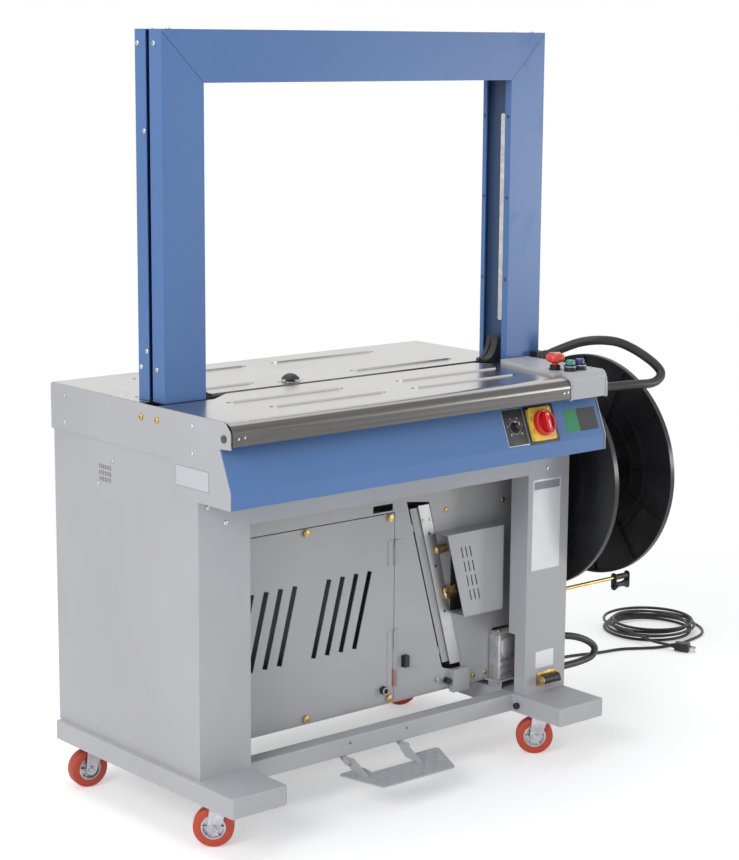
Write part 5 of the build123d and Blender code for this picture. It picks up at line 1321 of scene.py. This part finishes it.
# ---------------------------------------------------------------- operator's controls
@dataclass
class Fascia:
    """The speed dial, the main switch and the two-tone panel on the blue fascia."""

    top: Pair = (-251.0, 789.0)
    crease: Pair = (-283.0, 710.0)
    dial: Pair = (211.0, 42.0)
    switch: Pair = (280.0, 43.0)
    plate_thickness: float = 1.2
    gap: float = 0.3
    base_height: float = 10.0

    def spot(self, x: float, along: float, lift: float = 0.0) -> Matrix:
        """Return the place on the slope at a distance down from its upper edge."""
        down = Vector((0.0, self.crease[0] - self.top[0], self.crease[1] - self.top[1])).normalized()
        place = facing(Vector((x, *self.top)) + down * along, RIGHT, tuple(-down))
        return place @ shift(0.0, 0.0, lift)

    def build(self, rings: RingTree) -> None:
        """Make the plates, the scale, the knobs and the panel."""
        self.plates()
        self.scale(rings)
        self.dial_knob()
        self.main_switch()
        self.panel()

    def plates(self) -> None:
        """Make the dark plates with their bright edges."""
        shape = Shape()
        dial, switch = self.spot(*self.dial), self.spot(*self.switch)
        shape.prism(rounded_outline(29.0, 39.0, 2.0), dial, 0.8, 0.2, 1)
        shape.prism(rounded_outline(27.8, 37.8, 1.6), dial, self.plate_thickness, 0.2)
        shape.prism(rounded_outline(42.0, 40.0, 2.0, (6.0, 0.0)), switch, self.plate_thickness, 0.3)
        place_shape("control_plates", shape, "frame", [DARK_FILM, SILVER_FILM], ["fascia_plates"])

    def scale(self, rings: RingTree) -> None:
        """Make the marks and the numbers around the dial."""
        place = layout.matrix() @ self.spot(*self.dial, self.plate_thickness)
        carrier = bpy.data.meshes.new("dial_carrier")
        marks = rings.run(carrier, "dial_marks", Count=24, Radius=14.6, Length=2.4, Width=0.5, Height=0.5,
                          Finish=WHITE_FILM.material())
        marks.transform(place)
        put("dial_marks", marks, "frame", [WHITE_FILM])
        numbers, size, lift, radius = Shape(), 6.0, 0.12, 20.6
        for index in range(6):
            angle = math.radians(225 - 54 * index)
            text = bpy.data.curves.new("dial_number", "FONT")
            text.body = str(2 * index)
            text.size = size
            text.align_x, text.align_y = "CENTER", "CENTER"
            text.extrude = lift
            holder = bpy.data.objects.new("dial_number", text)
            mesh = bpy.data.meshes.new_from_object(holder)
            mesh.transform(shift(radius * math.cos(angle), radius * math.sin(angle), lift))
            numbers.mesh.from_mesh(mesh)
            bpy.data.objects.remove(holder)
            bpy.data.meshes.remove(mesh)
            bpy.data.curves.remove(text)
        put("dial_numbers", numbers.to_mesh("dial_numbers", place), "frame", [WHITE_FILM])

    def dial_knob(self) -> None:
        """Make the fluted knob with its pointer."""
        place = self.spot(*self.dial, self.plate_thickness + self.gap)
        shape, white = Shape(), 1
        shape.lathe([(0, 0), (0, 10.2), (1.6, 10.6), (2.6, 10.2), (2.6, 0)], place, 40)
        shape.lathe([(2.6, 0), (2.6, 9.2), (12.4, 8.4), (13.2, 7.6), (13.2, 0)], place, 36, 0, 0.5)
        shape.lathe([(13.1, 0), (13.1, 6.6), (13.9, 6.0), (13.9, 0)], place, 32)
        shape.block((-0.7, 2.0, 13.0), (0.7, 8.2, 14.2), 0.15, white, place)
        shape.block((-1.5, 8.6, 0.2), (1.5, 12.0, 5.0), 0.6, white, place)
        place_shape("speed_knob", shape, "dial_knob", [BLACK_PLASTIC, WHITE_FILM], ["dial_knob"])

    def main_switch(self) -> None:
        """Make the yellow base and the red rotary handle."""
        base = self.spot(*self.switch, self.plate_thickness)
        shape = Shape()
        dark, bright = 1, 2
        shape.prism(rounded_outline(32.0, 35.0, 5.0), base, self.base_height, 1.8, 0, 3)
        shape.lathe([(9.6, 0), (9.6, 28.6), (10.15, 28.2), (10.15, 0)], base, 48)
        for height in (12.0, -14.0):
            shape.block((-30.6, height - 5.0, 9.7), (-28.9, height + 5.0, 10.2), 0.1, dark, base)
        for side in (-1, 1):
            seat = base @ shift(side * 25, side * 28, 0)
            shape.lathe([(9.6, 0), (9.6, 2.4), (10.5, 2.0), (10.5, 0)], seat, 14, bright)
        place_shape("main_switch_base", shape, "frame", [YELLOW_PLASTIC, DARK_FILM, NICKEL], ["switch_base"])
        seat = self.spot(*self.switch, self.plate_thickness + self.base_height + self.gap)
        knob = Shape()
        white, brass = 1, 2
        dish = [
            (0, 0), (0, 25.6), (1.0, 26.8), (9.8, 27.0), (11.4, 26.4), (12.0, 25.2), (12.0, 22.8),
            (11.2, 21.6), (6.0, 20.6), (5.0, 19.6), (5.0, 0),
        ]
        knob.lathe(dish, seat, 56)
        bar = [
            (-5.5, -15.0), (-4.2, -20.4), (0.0, -22.0), (4.2, -20.4), (5.5, -15.0),
            (5.5, 15.0), (4.2, 20.4), (0.0, 22.0), (-4.2, 20.4), (-5.5, 15.0),
        ]
        knob.prism(bar, seat @ shift(0, 0, 4.8), 15.2, 1.8, 0, 3)
        knob.block((-1.0, -14.0, 19.8), (1.0, 2.0, 20.2), 0.15, white, seat)
        knob.block((-3.4, 12.0, 19.0), (3.4, 17.0, 20.6), 0.5, brass, seat)
        place_shape("main_switch_handle", knob, "switch_knob", [RED_PLASTIC, WHITE_FILM, BRASS], ["switch_knob"])

    def panel(self) -> None:
        """Make the bare two-tone panel at the right end."""
        shape = Shape()
        for paint, (left, right) in enumerate(((354.0, 392.4), (392.6, 447.0))):
            shape.prism(rectangle((left, -24.0), (right, 24.0)), self.spot(0.0, 46.0), 0.4, 0.0, paint)
        place_shape("fascia_film", shape, "frame", [GREEN_FILM, DARK_FILM])


@dataclass
class PushButtons:
    """The emergency stop and the two push buttons on the control box."""

    top: float = 850.0
    start: Pair = (378.0, -257.0)
    feed: Pair = (407.0, -256.0)
    stop: Pair = (366.0, -224.0)

    def build(self) -> None:
        """Make the collars, the caps and the mushroom head."""
        shape = Shape()
        for place in (self.start, self.feed):
            seat = shift(*place, self.top)
            collar = [(0, 9.8), (0, 13.4), (1.6, 13.6), (2.2, 12.8), (12.6, 12.8), (13.8, 12.0), (14, 9.8)]
            shape.lathe(collar, seat, 40)
            shape.lathe([(9.0, 12.7), (9.0, 13.2), (10.6, 13.2), (10.6, 12.7)], seat, 40, 1)
        neck = [(0, 7.2), (0, 13.0), (1.8, 13.0), (2.4, 11.0), (9.6, 11.0), (10, 10.4), (10, 7.2)]
        shape.lathe(neck, shift(*self.stop, self.top), 36)
        place_shape("push_button_collars", shape, "frame", [DARK_METAL, ZINC], ["button_collars"])
        for name, place, finish in (("start", self.start, GREEN_PLASTIC), ("feed", self.feed, BLUE_PLASTIC)):
            cap = [
                (6.3, 0), (6.3, 9.4), (20.0, 9.6), (21.6, 9.2), (22.6, 8.2), (23.0, 7.0), (22.4, 5.4), (22.2, 0),
            ]
            button = Shape().lathe(cap, shift(*place, self.top), 40)
            place_shape(f"{name}_cap", button, f"{name}_button", [finish], [f"{name}_button"])
        head = [
            (15.3, 0), (15.3, 12.4), (17.6, 16.6), (20.2, 19.4), (22.0, 20.0), (26.4, 20.0), (29.2, 19.2),
            (32.4, 16.6), (34.8, 12.0), (36.0, 6.4), (36.3, 0),
        ]
        stop = Shape().lathe(head, shift(*self.stop, self.top), 48)
        for index in range(3):
            turn = shift(*self.stop, self.top) @ turned(120 * index)
            stop.block((10.0, -3.4, 34.4), (11.4, 3.4, 35.9), 0.3, 1, turn)
        stem = [(-8.0, 0), (-8.0, 6.8), (15.6, 6.8), (15.6, 0)]
        stop.lathe(stem, shift(*self.stop, self.top), 24)
        place_shape("stop_mushroom", stop, "estop_button", [STOP_RED, WHITE_FILM], ["estop_button"])


# ---------------------------------------------------------------- panels and plates
@dataclass
class BarePlates:
    """The bare label places: plates and films with a plain edge, and nothing printed on them."""

    leg_front: float = -180.0
    left_face: float = -521.0

    def plate(
        self, name: str, place: Matrix, half: Pair, face: Finish, edge: Finish, border: float = 1.4
    ) -> None:
        """Make one plate with its edge."""
        shape = Shape()
        back = 1
        shape.prism(rounded_outline(half[0], half[1], 2.4), place, 0.35, 0.1, back)
        shape.prism(rounded_outline(half[0] - border, half[1] - border, 1.6), place, 0.5, 0.1)
        place_shape(name, shape, "frame", [face, edge])

    def build(self) -> None:
        """Make the plates of the right leg and of the left side."""
        tall = facing((394.5, self.leg_front, 507.5), RIGHT, UP)
        self.plate("instruction_plate", tall, (42.5, 99.5), WHITE_FILM, SILVER_FILM)
        shape = Shape().prism(rectangle((-38.0, 78.0), (38.0, 95.0)), tall, 0.65)
        place_shape("instruction_plate_band", shape, "frame", [GREY_FILM])
        self.plate("service_plate", facing((398.0, self.leg_front, 207.5), RIGHT, UP), (28.0, 19.5),
                   WHITE_FILM, SILVER_FILM)
        self.plate("rating_plate", facing((self.left_face, -165.0, 722.0), FRONT, UP), (53.0, 20.0),
                   SILVER_FILM, GREY_FILM)


@dataclass
class FrontPanels:
    """The feed tabs, the roller bracket, the door's fittings and the power unit."""

    panel: float = -74.0
    door: float = -74.3
    feed_middle: Pair = (142.0, 533.6)
    feed_tilt: float = 15.0
    opening: tuple[Pair, Pair] = ((89.5, 579.0), (195.0, 200.0))
    tab_back: float = -80.3
    rail_front: float = -78.0

    def feed_x(self, z: float) -> float:
        """Return the middle of the feed rail at a height."""
        return self.feed_middle[0] + (self.feed_middle[1] - z) * math.tan(math.radians(self.feed_tilt))

    def build(self, tree: ScatterTree, springs: SpringTree) -> None:
        """Make the fittings of the front."""
        self.feed_strip()
        self.feed_tabs(tree)
        self.door_fittings(tree, springs)
        self.power_unit()

    def feed_strip(self) -> None:
        """Make the narrow strip that closes the opening on the left of the feed rail."""
        low, high, rail_edge, gap = 212.0, 562.0, 15.3, 4.0
        (x0, z0), (x1, z1) = self.opening
        left = [x0 + (z0 - z) * (x1 - x0) / (z0 - z1) + gap for z in (low, high)]
        right = [self.feed_x(z) - rail_edge for z in (low, high)]
        outline = [(left[0], low), (right[0], low), (right[1], high), (left[1], high)]
        strip = Shape().prism(outline, facing((0.0, self.panel + 1.3, 0.0), RIGHT, UP), 1.1, 0.2)
        place_shape("feed_rail_strip", strip, "frame", [GREY_PAINT])

    def feed_tabs(self, tree: ScatterTree) -> None:
        """Make the brass fingers between the rail and the feeder, and the bracket of the leg's roller."""
        shape = Shape()
        for low, high in ((456.0, 476.0), (352.0, 382.0)):
            middle = (low + high) / 2
            outline = [
                (self.feed_x(low) + 6, low + 2), (self.feed_x(low) + 16, low), (self.feed_x(low) + 40, low + 4),
                (self.feed_x(high) + 40, high), (self.feed_x(high) + 16, high - 2), (self.feed_x(high) + 6, high - 4),
                (self.feed_x(middle) + 4, middle - 1),
            ]
            shape.prism(outline, facing((0.0, self.tab_back, 0.0), RIGHT, UP), 2.0, 0.5)
            shape.block((self.feed_x(middle) + 7, self.tab_back, middle - 7),
                        (self.feed_x(middle) + 13, self.rail_front, middle + 7), 0.3)
        x0, x1, front = 375.5, 428.5, -180.0
        shape.block((x0, front - 2, 150), (x1, front, 180), 0.4)
        for x in (x0, x1 - 2):
            ear = facing((x, 0.0, 0.0), BACK, UP)
            shape.prism([(front, 155), (front, 175), (front - 16, 175), *arc((front - 14, 165), 10, 100, 260, 8),
                         (front - 16, 155)][::-1], ear, 2.0, 0.4)
        shape.rod(3, x1 - x0, way_matrix((x0, front - 14, 165), RIGHT), 16)
        for x, way in ((x0, LEFT), (x1, RIGHT)):
            shape.prism(hexagon(5.4), way_matrix((x, front - 14, 165), way), 2.4, 0.4)
        place_shape("brass_tabs", shape, "frame", [BRASS], ["brass_hardware"])
        rail: list[Heading] = [
            ((self.feed_x(z) + side, self.rail_front, z), FRONT) for z in (533.6, 289.7) for side in (-10, 10)
        ]
        tree.scatter("rail_screw_heads", screw_head(3.5, 2.0), rail, "frame", NICKEL, spin=1.5)
        tabs: list[Heading] = [((self.feed_x(z) + 10, self.tab_back - 2, z), FRONT) for z in (467.0, 364.0)]
        tree.scatter("tab_screw_heads", screw_head(4.6, 2.6, cross=False), tabs, "frame", NICKEL)
        cap = Shape().lathe([(0, 0), (0, 6.2), (4.4, 6.2), (5.2, 5.2), (5.2, 0)], STAY, 28)
        tree.scatter("panel_stud", cap, [((181.0, self.panel, 178.0), FRONT)], "frame", ZINC)

    def door_fittings(self, tree: ScatterTree, springs: SpringTree) -> None:
        """Make the captive screws and the knob on the door, and the spring on its hinge."""
        captive = Shape()
        captive.lathe([(0, 0), (0, 7.2), (1.4, 7.6), (5.2, 7.6), (5.2, 0)], STAY, 32, 0, 0.35)
        captive.lathe([(5.1, 0), (5.1, 6.2), (6.4, 5.6), (7.0, 3.8), (7.0, 0)], STAY, 28)
        captive.block((-5.0, -0.6, 6.6), (5.0, 0.6, 7.15), 0.1)
        corners = ((-180, 551), (42, 552), (-180, 164), (43, 164))
        screws = [((x, self.door, z), FRONT) for x, z in corners]
        tree.scatter("door_screw_heads", captive, screws, "pool_door", BRASS, spin=1.2)
        knob = Shape()
        knob.lathe([(0, 0), (0, 8.6), (9.4, 8.9), (11.2, 8.0), (12.0, 6.0), (12.0, 0)],
                   way_matrix((27.0, self.door, 184.0), FRONT), 32, 0, 0.5)
        place_shape("door_knob", knob, "pool_door", [BLACK_PLASTIC])
        carrier = bpy.data.meshes.new("hinge_spring_carrier")
        wire = springs.run(carrier, "hinge_spring", Turns=13.0, Radius=4.0, Length=38.0, Wire=0.75,
                           Finish=COPPER.material())
        wire.transform(layout.matrix() @ shift(57.25, -77.2, 187.5))
        put("hinge_spring", wire, "frame", [COPPER])

    def power_unit(self) -> None:
        """Make the finned power unit on its tray, with its strap, switch and terminal block."""
        shape = Shape()
        finishes = [CAST_METAL, GREY_PAINT, BRASS, RED_PLASTIC, WHITE_FILM, BLACK_PLASTIC]
        cast, grey, brass, red, white, black = range(len(finishes))
        front, back, tray_back = -110.0, -76.0, self.panel - 0.3
        first_fin, fin_pitch, fin_height = 168, 17, 9
        shape.block((330, front, 154), (386, back, 256), 4.0, cast, segments=3)
        for index in range(5):
            z = first_fin + index * fin_pitch
            shape.block((334, front - 1.6, z), (382, front + 1, z + fin_height), 0.8, cast)
        shape.lathe([(0, 0), (0, 24), (3, 24), (5, 21), (5, 0)], way_matrix((356, front - 1.0, 226), FRONT), 36, cast)
        shape.block((318, front - 6, 152), (396, tray_back, 154), 0.4, grey)
        for x in (332, 394):
            shape.block((x, front - 6, 136), (x + 2, tray_back, 152.2), 0.3, grey)
        shape.block((387.0, front + 4, 156), (389.6, front + 12, 262), 0.4, brass)
        shape.block((333, front, 256.5), (389.6, back, 258.6), 0.5, grey)
        for x in (345, 378):
            shape.lathe([(0, 0), (0, 5), (3.4, 4.4), (4.4, 3), (4.4, 0)], shift(x, -92, 258.6), 20, brass)
        shape.block((376, front - 5, 176), (386, front, 196), 0.8, red)
        shape.block((377.5, front - 6.2, 180), (381.5, front - 4.8, 192), 0.3, white)
        shape.block((382, front - 5.4, 166), (391, front + 3, 182), 0.8, red)
        shape.block((374, front - 5.5, 155), (391, front + 4, 166), 0.8, black)
        place_shape("power_unit_detail", shape, "frame", finishes, ["power_unit"])


@dataclass
class Tables:
    """The trim on the stainless tables: dark plates painted as the shade in the slots at the ribs' ends, and the ring
    of the ball switch.
    """

    top: float = 842.0
    rib_length: float = 275.0
    rear_ribs: tuple[Pair, ...] = ((-487.0, 62.0), (54.0, 62.0), (-365.0, 250.0), (-11.0, 250.0))
    front_ribs: tuple[Pair, ...] = ((-387.0, -100.0), (40.0, -100.0), (-350.0, -187.0), (5.5, -187.0))
    ball: Pair = (-130.0, 38.0)

    def build(self, tree: ScatterTree) -> None:
        """Make the painted slot shade and the ring."""
        for name, ribs, body in (("rear", self.rear_ribs, "frame"), ("front", self.front_ribs, "front_table")):
            places: list[Heading] = []
            for x, y in ribs:
                places += [((x - 1.5, y, self.top), UP), ((x + self.rib_length + 1.5, y, self.top), UP)]
            # Painted shade: thin dark plates on the table top stand for the shade inside the open ends of the ribs.
            slot = [(-5.5, 0.0), (-1.0, -4.6), (4.0, -6.0), (1.6, 0.0), (4.0, 6.0), (-1.0, 4.6)]
            for side in (0, 1):
                turn = turned(180 * side)
                slot_shade = Shape().prism(slot, turn, 0.15, 0.0)
                tree.scatter(f"{name}_rib_slots_{side + 1}", slot_shade, places[side::2], body, DARK_METAL)
        ring = Shape()
        seat = shift(*self.ball, self.top)
        ring.lathe([(0, 19.6), (0, 23.5), (0.5, 23.5), (0.9, 22.5), (0.9, 19.6)], seat, 48)
        for side in (-1, 1):
            ring.block((side * 27 - 4.5, -2.6, 0.0), (side * 27 + 4.5, 2.6, 0.8), 0.3, 0, seat)
        place_shape("ball_switch_ring", ring, "frame", [ZINC])


# ---------------------------------------------------------------- right side
@dataclass
class ReelSide:
    """The reel's ribs and hub, the guide arm, the formed conduits and their glands."""

    axis: Pair = (-28.0, 580.0)
    outer_face: float = 688.0
    inner_face: float = 512.0
    arm_pivot: Pair = (30.0, 400.0)
    rod: Pair = (-150.0, 343.0)
    upper_route: tuple[Triple, ...] = (
        (472.8, -210, 796), (535.6, -215, 794.5), (608.9, -225, 794.2), (660.5, -228, 792.7), (690, -225, 801),
        (699, -219, 813), (691, -211, 828), (670.5, -200, 846.5), (642.9, -185, 866), (615.1, -165, 880),
        (581.2, -140, 884), (552.6, -112, 878.2), (521.4, -85, 863), (497.2, -67.7, 850.1),
    )
    lower_route: tuple[Triple, ...] = (
        (500.3, -120, 228), (545, -126, 219), (583, -131, 203), (603, -134, 184), (590, -137, 168),
        (550, -139, 163), (505, -141, 163), (460.8, -142, 163),
    )

    def build(self, rings: RingTree) -> None:
        """Make the pieces of the right side."""
        self.reel(rings)
        self.arm()
        self.conduits()

    def reel(self, rings: RingTree) -> None:
        """Make the outer ribs, the rings and the hub sleeve of the reel."""
        turn, zinc = way_matrix((self.outer_face - 0.4, *self.axis), RIGHT), 1
        carrier = bpy.data.meshes.new("spoke_carrier")
        spokes = rings.run(carrier, "reel_spokes", Count=12, Radius=148.0, Length=190.0, Width=2.6, Height=3.6,
                           Finish=REEL_PLASTIC.material())
        spokes.transform(layout.matrix() @ turn)
        put("reel_spokes", spokes, "reel", [REEL_PLASTIC])
        shape = Shape()
        for radius in (104.0, 167.0):
            ring = [(0, radius - 3), (0, radius), (2.2, radius - 0.3), (2.2, radius - 2.7)]
            shape.lathe(ring, turn, 96)
        shape.lathe([(0, 21), (0, 54), (2.0, 54), (3.6, 50), (3.6, 21)], turn, 64)
        shape.lathe([(0, 20.3), (0, 22.4), (168, 22.4), (168, 20.3)],
                    way_matrix((self.inner_face + 1, *self.axis), RIGHT), 48, zinc)
        for angle in (20, 110, 200, 290):
            seat = turn @ turned(angle) @ shift(40, 0, 3.4)
            shape.prism(hexagon(6.5), seat, 3.6, 0.5, zinc)
        place_shape("reel_hub_detail", shape, "reel", [REEL_PLASTIC, ZINC])

    def arm(self) -> None:
        """Make the bent brass rod, its eye and the black yoke of the roller."""
        x = 478.0
        start = Vector((x, self.arm_pivot[0] - 9, self.arm_pivot[1] - 3))
        corner = Vector((x, *self.rod))
        end = Vector((690.0, *self.rod))
        into, out = (corner - start).normalized(), (end - corner).normalized()
        bend = 16.0
        points = [start]
        for step in range(13):
            t = step / 12
            a, b = corner - into * bend, corner + out * bend
            points.append(a * (1 - t) ** 2 + corner * 2 * t * (1 - t) + b * t**2)
        points += [corner + out * 90, end]
        rod_radius, black, zinc = 4.0, 1, 2
        shape = Shape().pipe(points, [rod_radius] * len(points), 20)
        eye = way_matrix((472.0, *self.arm_pivot), RIGHT)
        shape.lathe([(0, 6.2), (0, 11.4), (0.8, 12), (11.2, 12), (12, 11.4), (12, 6.2)], eye, 36)
        for plate in (642.0, 684.0):
            ear = facing((plate, self.rod[0], self.rod[1] - 9.5), BACK, UP)
            shape.prism(rounded_outline(8.0, 19.5, 6.5), ear, 3.0, 0.7, black)
        shape.rod(3, 45, way_matrix((642.0, self.rod[0], 325.0), RIGHT), 16, zinc)
        shape.lathe([(0, 4.2), (0, 6.4), (38.6, 6.4), (38.6, 4.2)],
                    way_matrix((645.2, *self.rod), RIGHT), 24, black)
        place_shape("guide_arm_rod", shape, "guide_arm", [BRASS, BLACK_PLASTIC, ZINC], ["guide_arm"])

    def conduits(self) -> None:
        """Make the two formed conduits with the nuts of their glands."""
        shape = Shape()
        for route, radius in ((self.upper_route, 10.0), (self.lower_route, 8.0)):
            points = smooth_points(route, 8)
            shape.pipe(points, [radius] * len(points), 24)
        place_shape("formed_conduits", shape, "frame", [HOSE_RUBBER], ["conduits"])
        nuts = Shape()
        upper = way_matrix((462.5, -210, 796), RIGHT)
        nuts.prism(hexagon(15.4), upper, 6.0, 0.8)
        nuts.lathe([(6, 0), (6, 13.2), (13, 12.4), (17, 11.4), (17, 0)], upper, 32, 0, 0.3)
        corner, leave = Vector((483, -57, 843)), Vector((497.0, -67.5, 850.0))
        end = way_matrix(tuple(corner + (leave - corner) * 0.35), tuple(leave - corner))
        nuts.prism(hexagon(14.6), end, 7.0, 0.8)
        nuts.lathe([(7, 0), (7, 12.6), (15, 11.6), (15, 0)], end, 32, 0, 0.3)
        lower = way_matrix((460.5, -120, 228), RIGHT)
        nuts.prism(hexagon(15.0), lower, 7.0, 0.8)
        nuts.prism(hexagon(13.8), way_matrix((486.0, -120, 228), RIGHT), 10.0, 0.8)
        nuts.prism(hexagon(12.0), way_matrix((460.5, -142, 163), RIGHT), 7.0, 0.8)
        nuts.prism(hexagon(11.4), way_matrix((460.5, 255, 175), RIGHT), 5.0, 0.7)
        place_shape("gland_nuts", nuts, "frame", [BLACK_PLASTIC])


# ---------------------------------------------------------------- whole machine
class Machine:
    """The whole machine: its dressed sheets and its detailed pieces."""

    HEADINGS: ClassVar[dict[str, float]] = {
        "front_left": 139.7, "front_right": 139.7, "rear_left": 171.6, "rear_right": 150.0,
    }
    CASTOR_X: ClassVar[dict[str, float]] = {"left": -466.5, "right": 394.5}
    CASTOR_Y: ClassVar[dict[str, float]] = {"front": -193.0, "rear": 254.0}
    GUIDE_BARS: ClassVar[tuple[tuple[Triple, Triple], ...]] = (
        ((-408.5, -30.0, 928.0), (-400.5, 30.0, 1376.0)), ((400.5, -30.0, 928.0), (408.5, 30.0, 1376.0)),
    )
    RAIL_FOOT: ClassVar[tuple[Triple, Triple]] = ((217.0, -88.0, 144.0), (263.0, -74.0, 194.0))

    def dress_sheets(self) -> None:
        """Give the CAD nodes that stay their finishes."""
        dress(GREY_PAINT, "left_side_panel", "right_side_panel", "upper_plates", "fascia_rail", "rear_panel",
              "control_box", "reel_bracket")
        dress(FOOT_PAINT, "left_foot", "right_foot", "cross_bars", "pedal")
        dress(PANEL_PAINT, "centre_panel", "pool_door", "feeder_cover", "base_tray")
        dress(BLUE_PAINT, "blue_fascia")
        dress(ARCH_PAINT, "arch_front_cover", "arch_rear_cover")
        dress(TABLE_STEEL, "front_table", "rear_table")
        dress(TRACK_METAL, "sealing_head")
        dress(TRACK_PAINT, "arch_track")
        for low, high in self.GUIDE_BARS:
            dress_part(NICKEL, "arch_track", low, high)
        dress(RAIL_METAL, "feed_rail")
        dress(DARK_METAL, "feed_unit", "feed_roller", "pinch_roller")
        dress(MOTOR_PAINT, "drive_motor")
        dress(ZINC, "cam_shaft")
        dress(POOL_PLASTIC, "strap_pool")
        dress(BLACK_PLASTIC, "black_fittings", "ball_switch", "guide_roller", "leg_roller")
        dress_part(GREY_PAINT, "black_fittings", *self.RAIL_FOOT)
        dress(REEL_PLASTIC, "reel_inner_flange", "reel_outer_flange", "reel_core")

    def build(self) -> None:
        """Make every piece in order."""
        self.dress_sheets()
        scatter, rings, springs = ScatterTree(), RingTree(), SpringTree()
        for name, heading in self.HEADINGS.items():
            end, side = name.split("_")
            Castor(name, (self.CASTOR_X[side], self.CASTOR_Y[end]), heading).build()
        Pedal().build(scatter)
        Screws().build(scatter)
        Fascia().build(rings)
        PushButtons().build()
        BarePlates().build()
        FrontPanels().build(scatter, springs)
        Tables().build(scatter)
        ReelSide().build(rings)


def main() -> None:
    """Build the camera, the cord, the machine and the studio."""
    Camera().build()
    MainsLead().build()
    Machine().build()
    Studio().build()


if __name__ == "__main__":
    main()
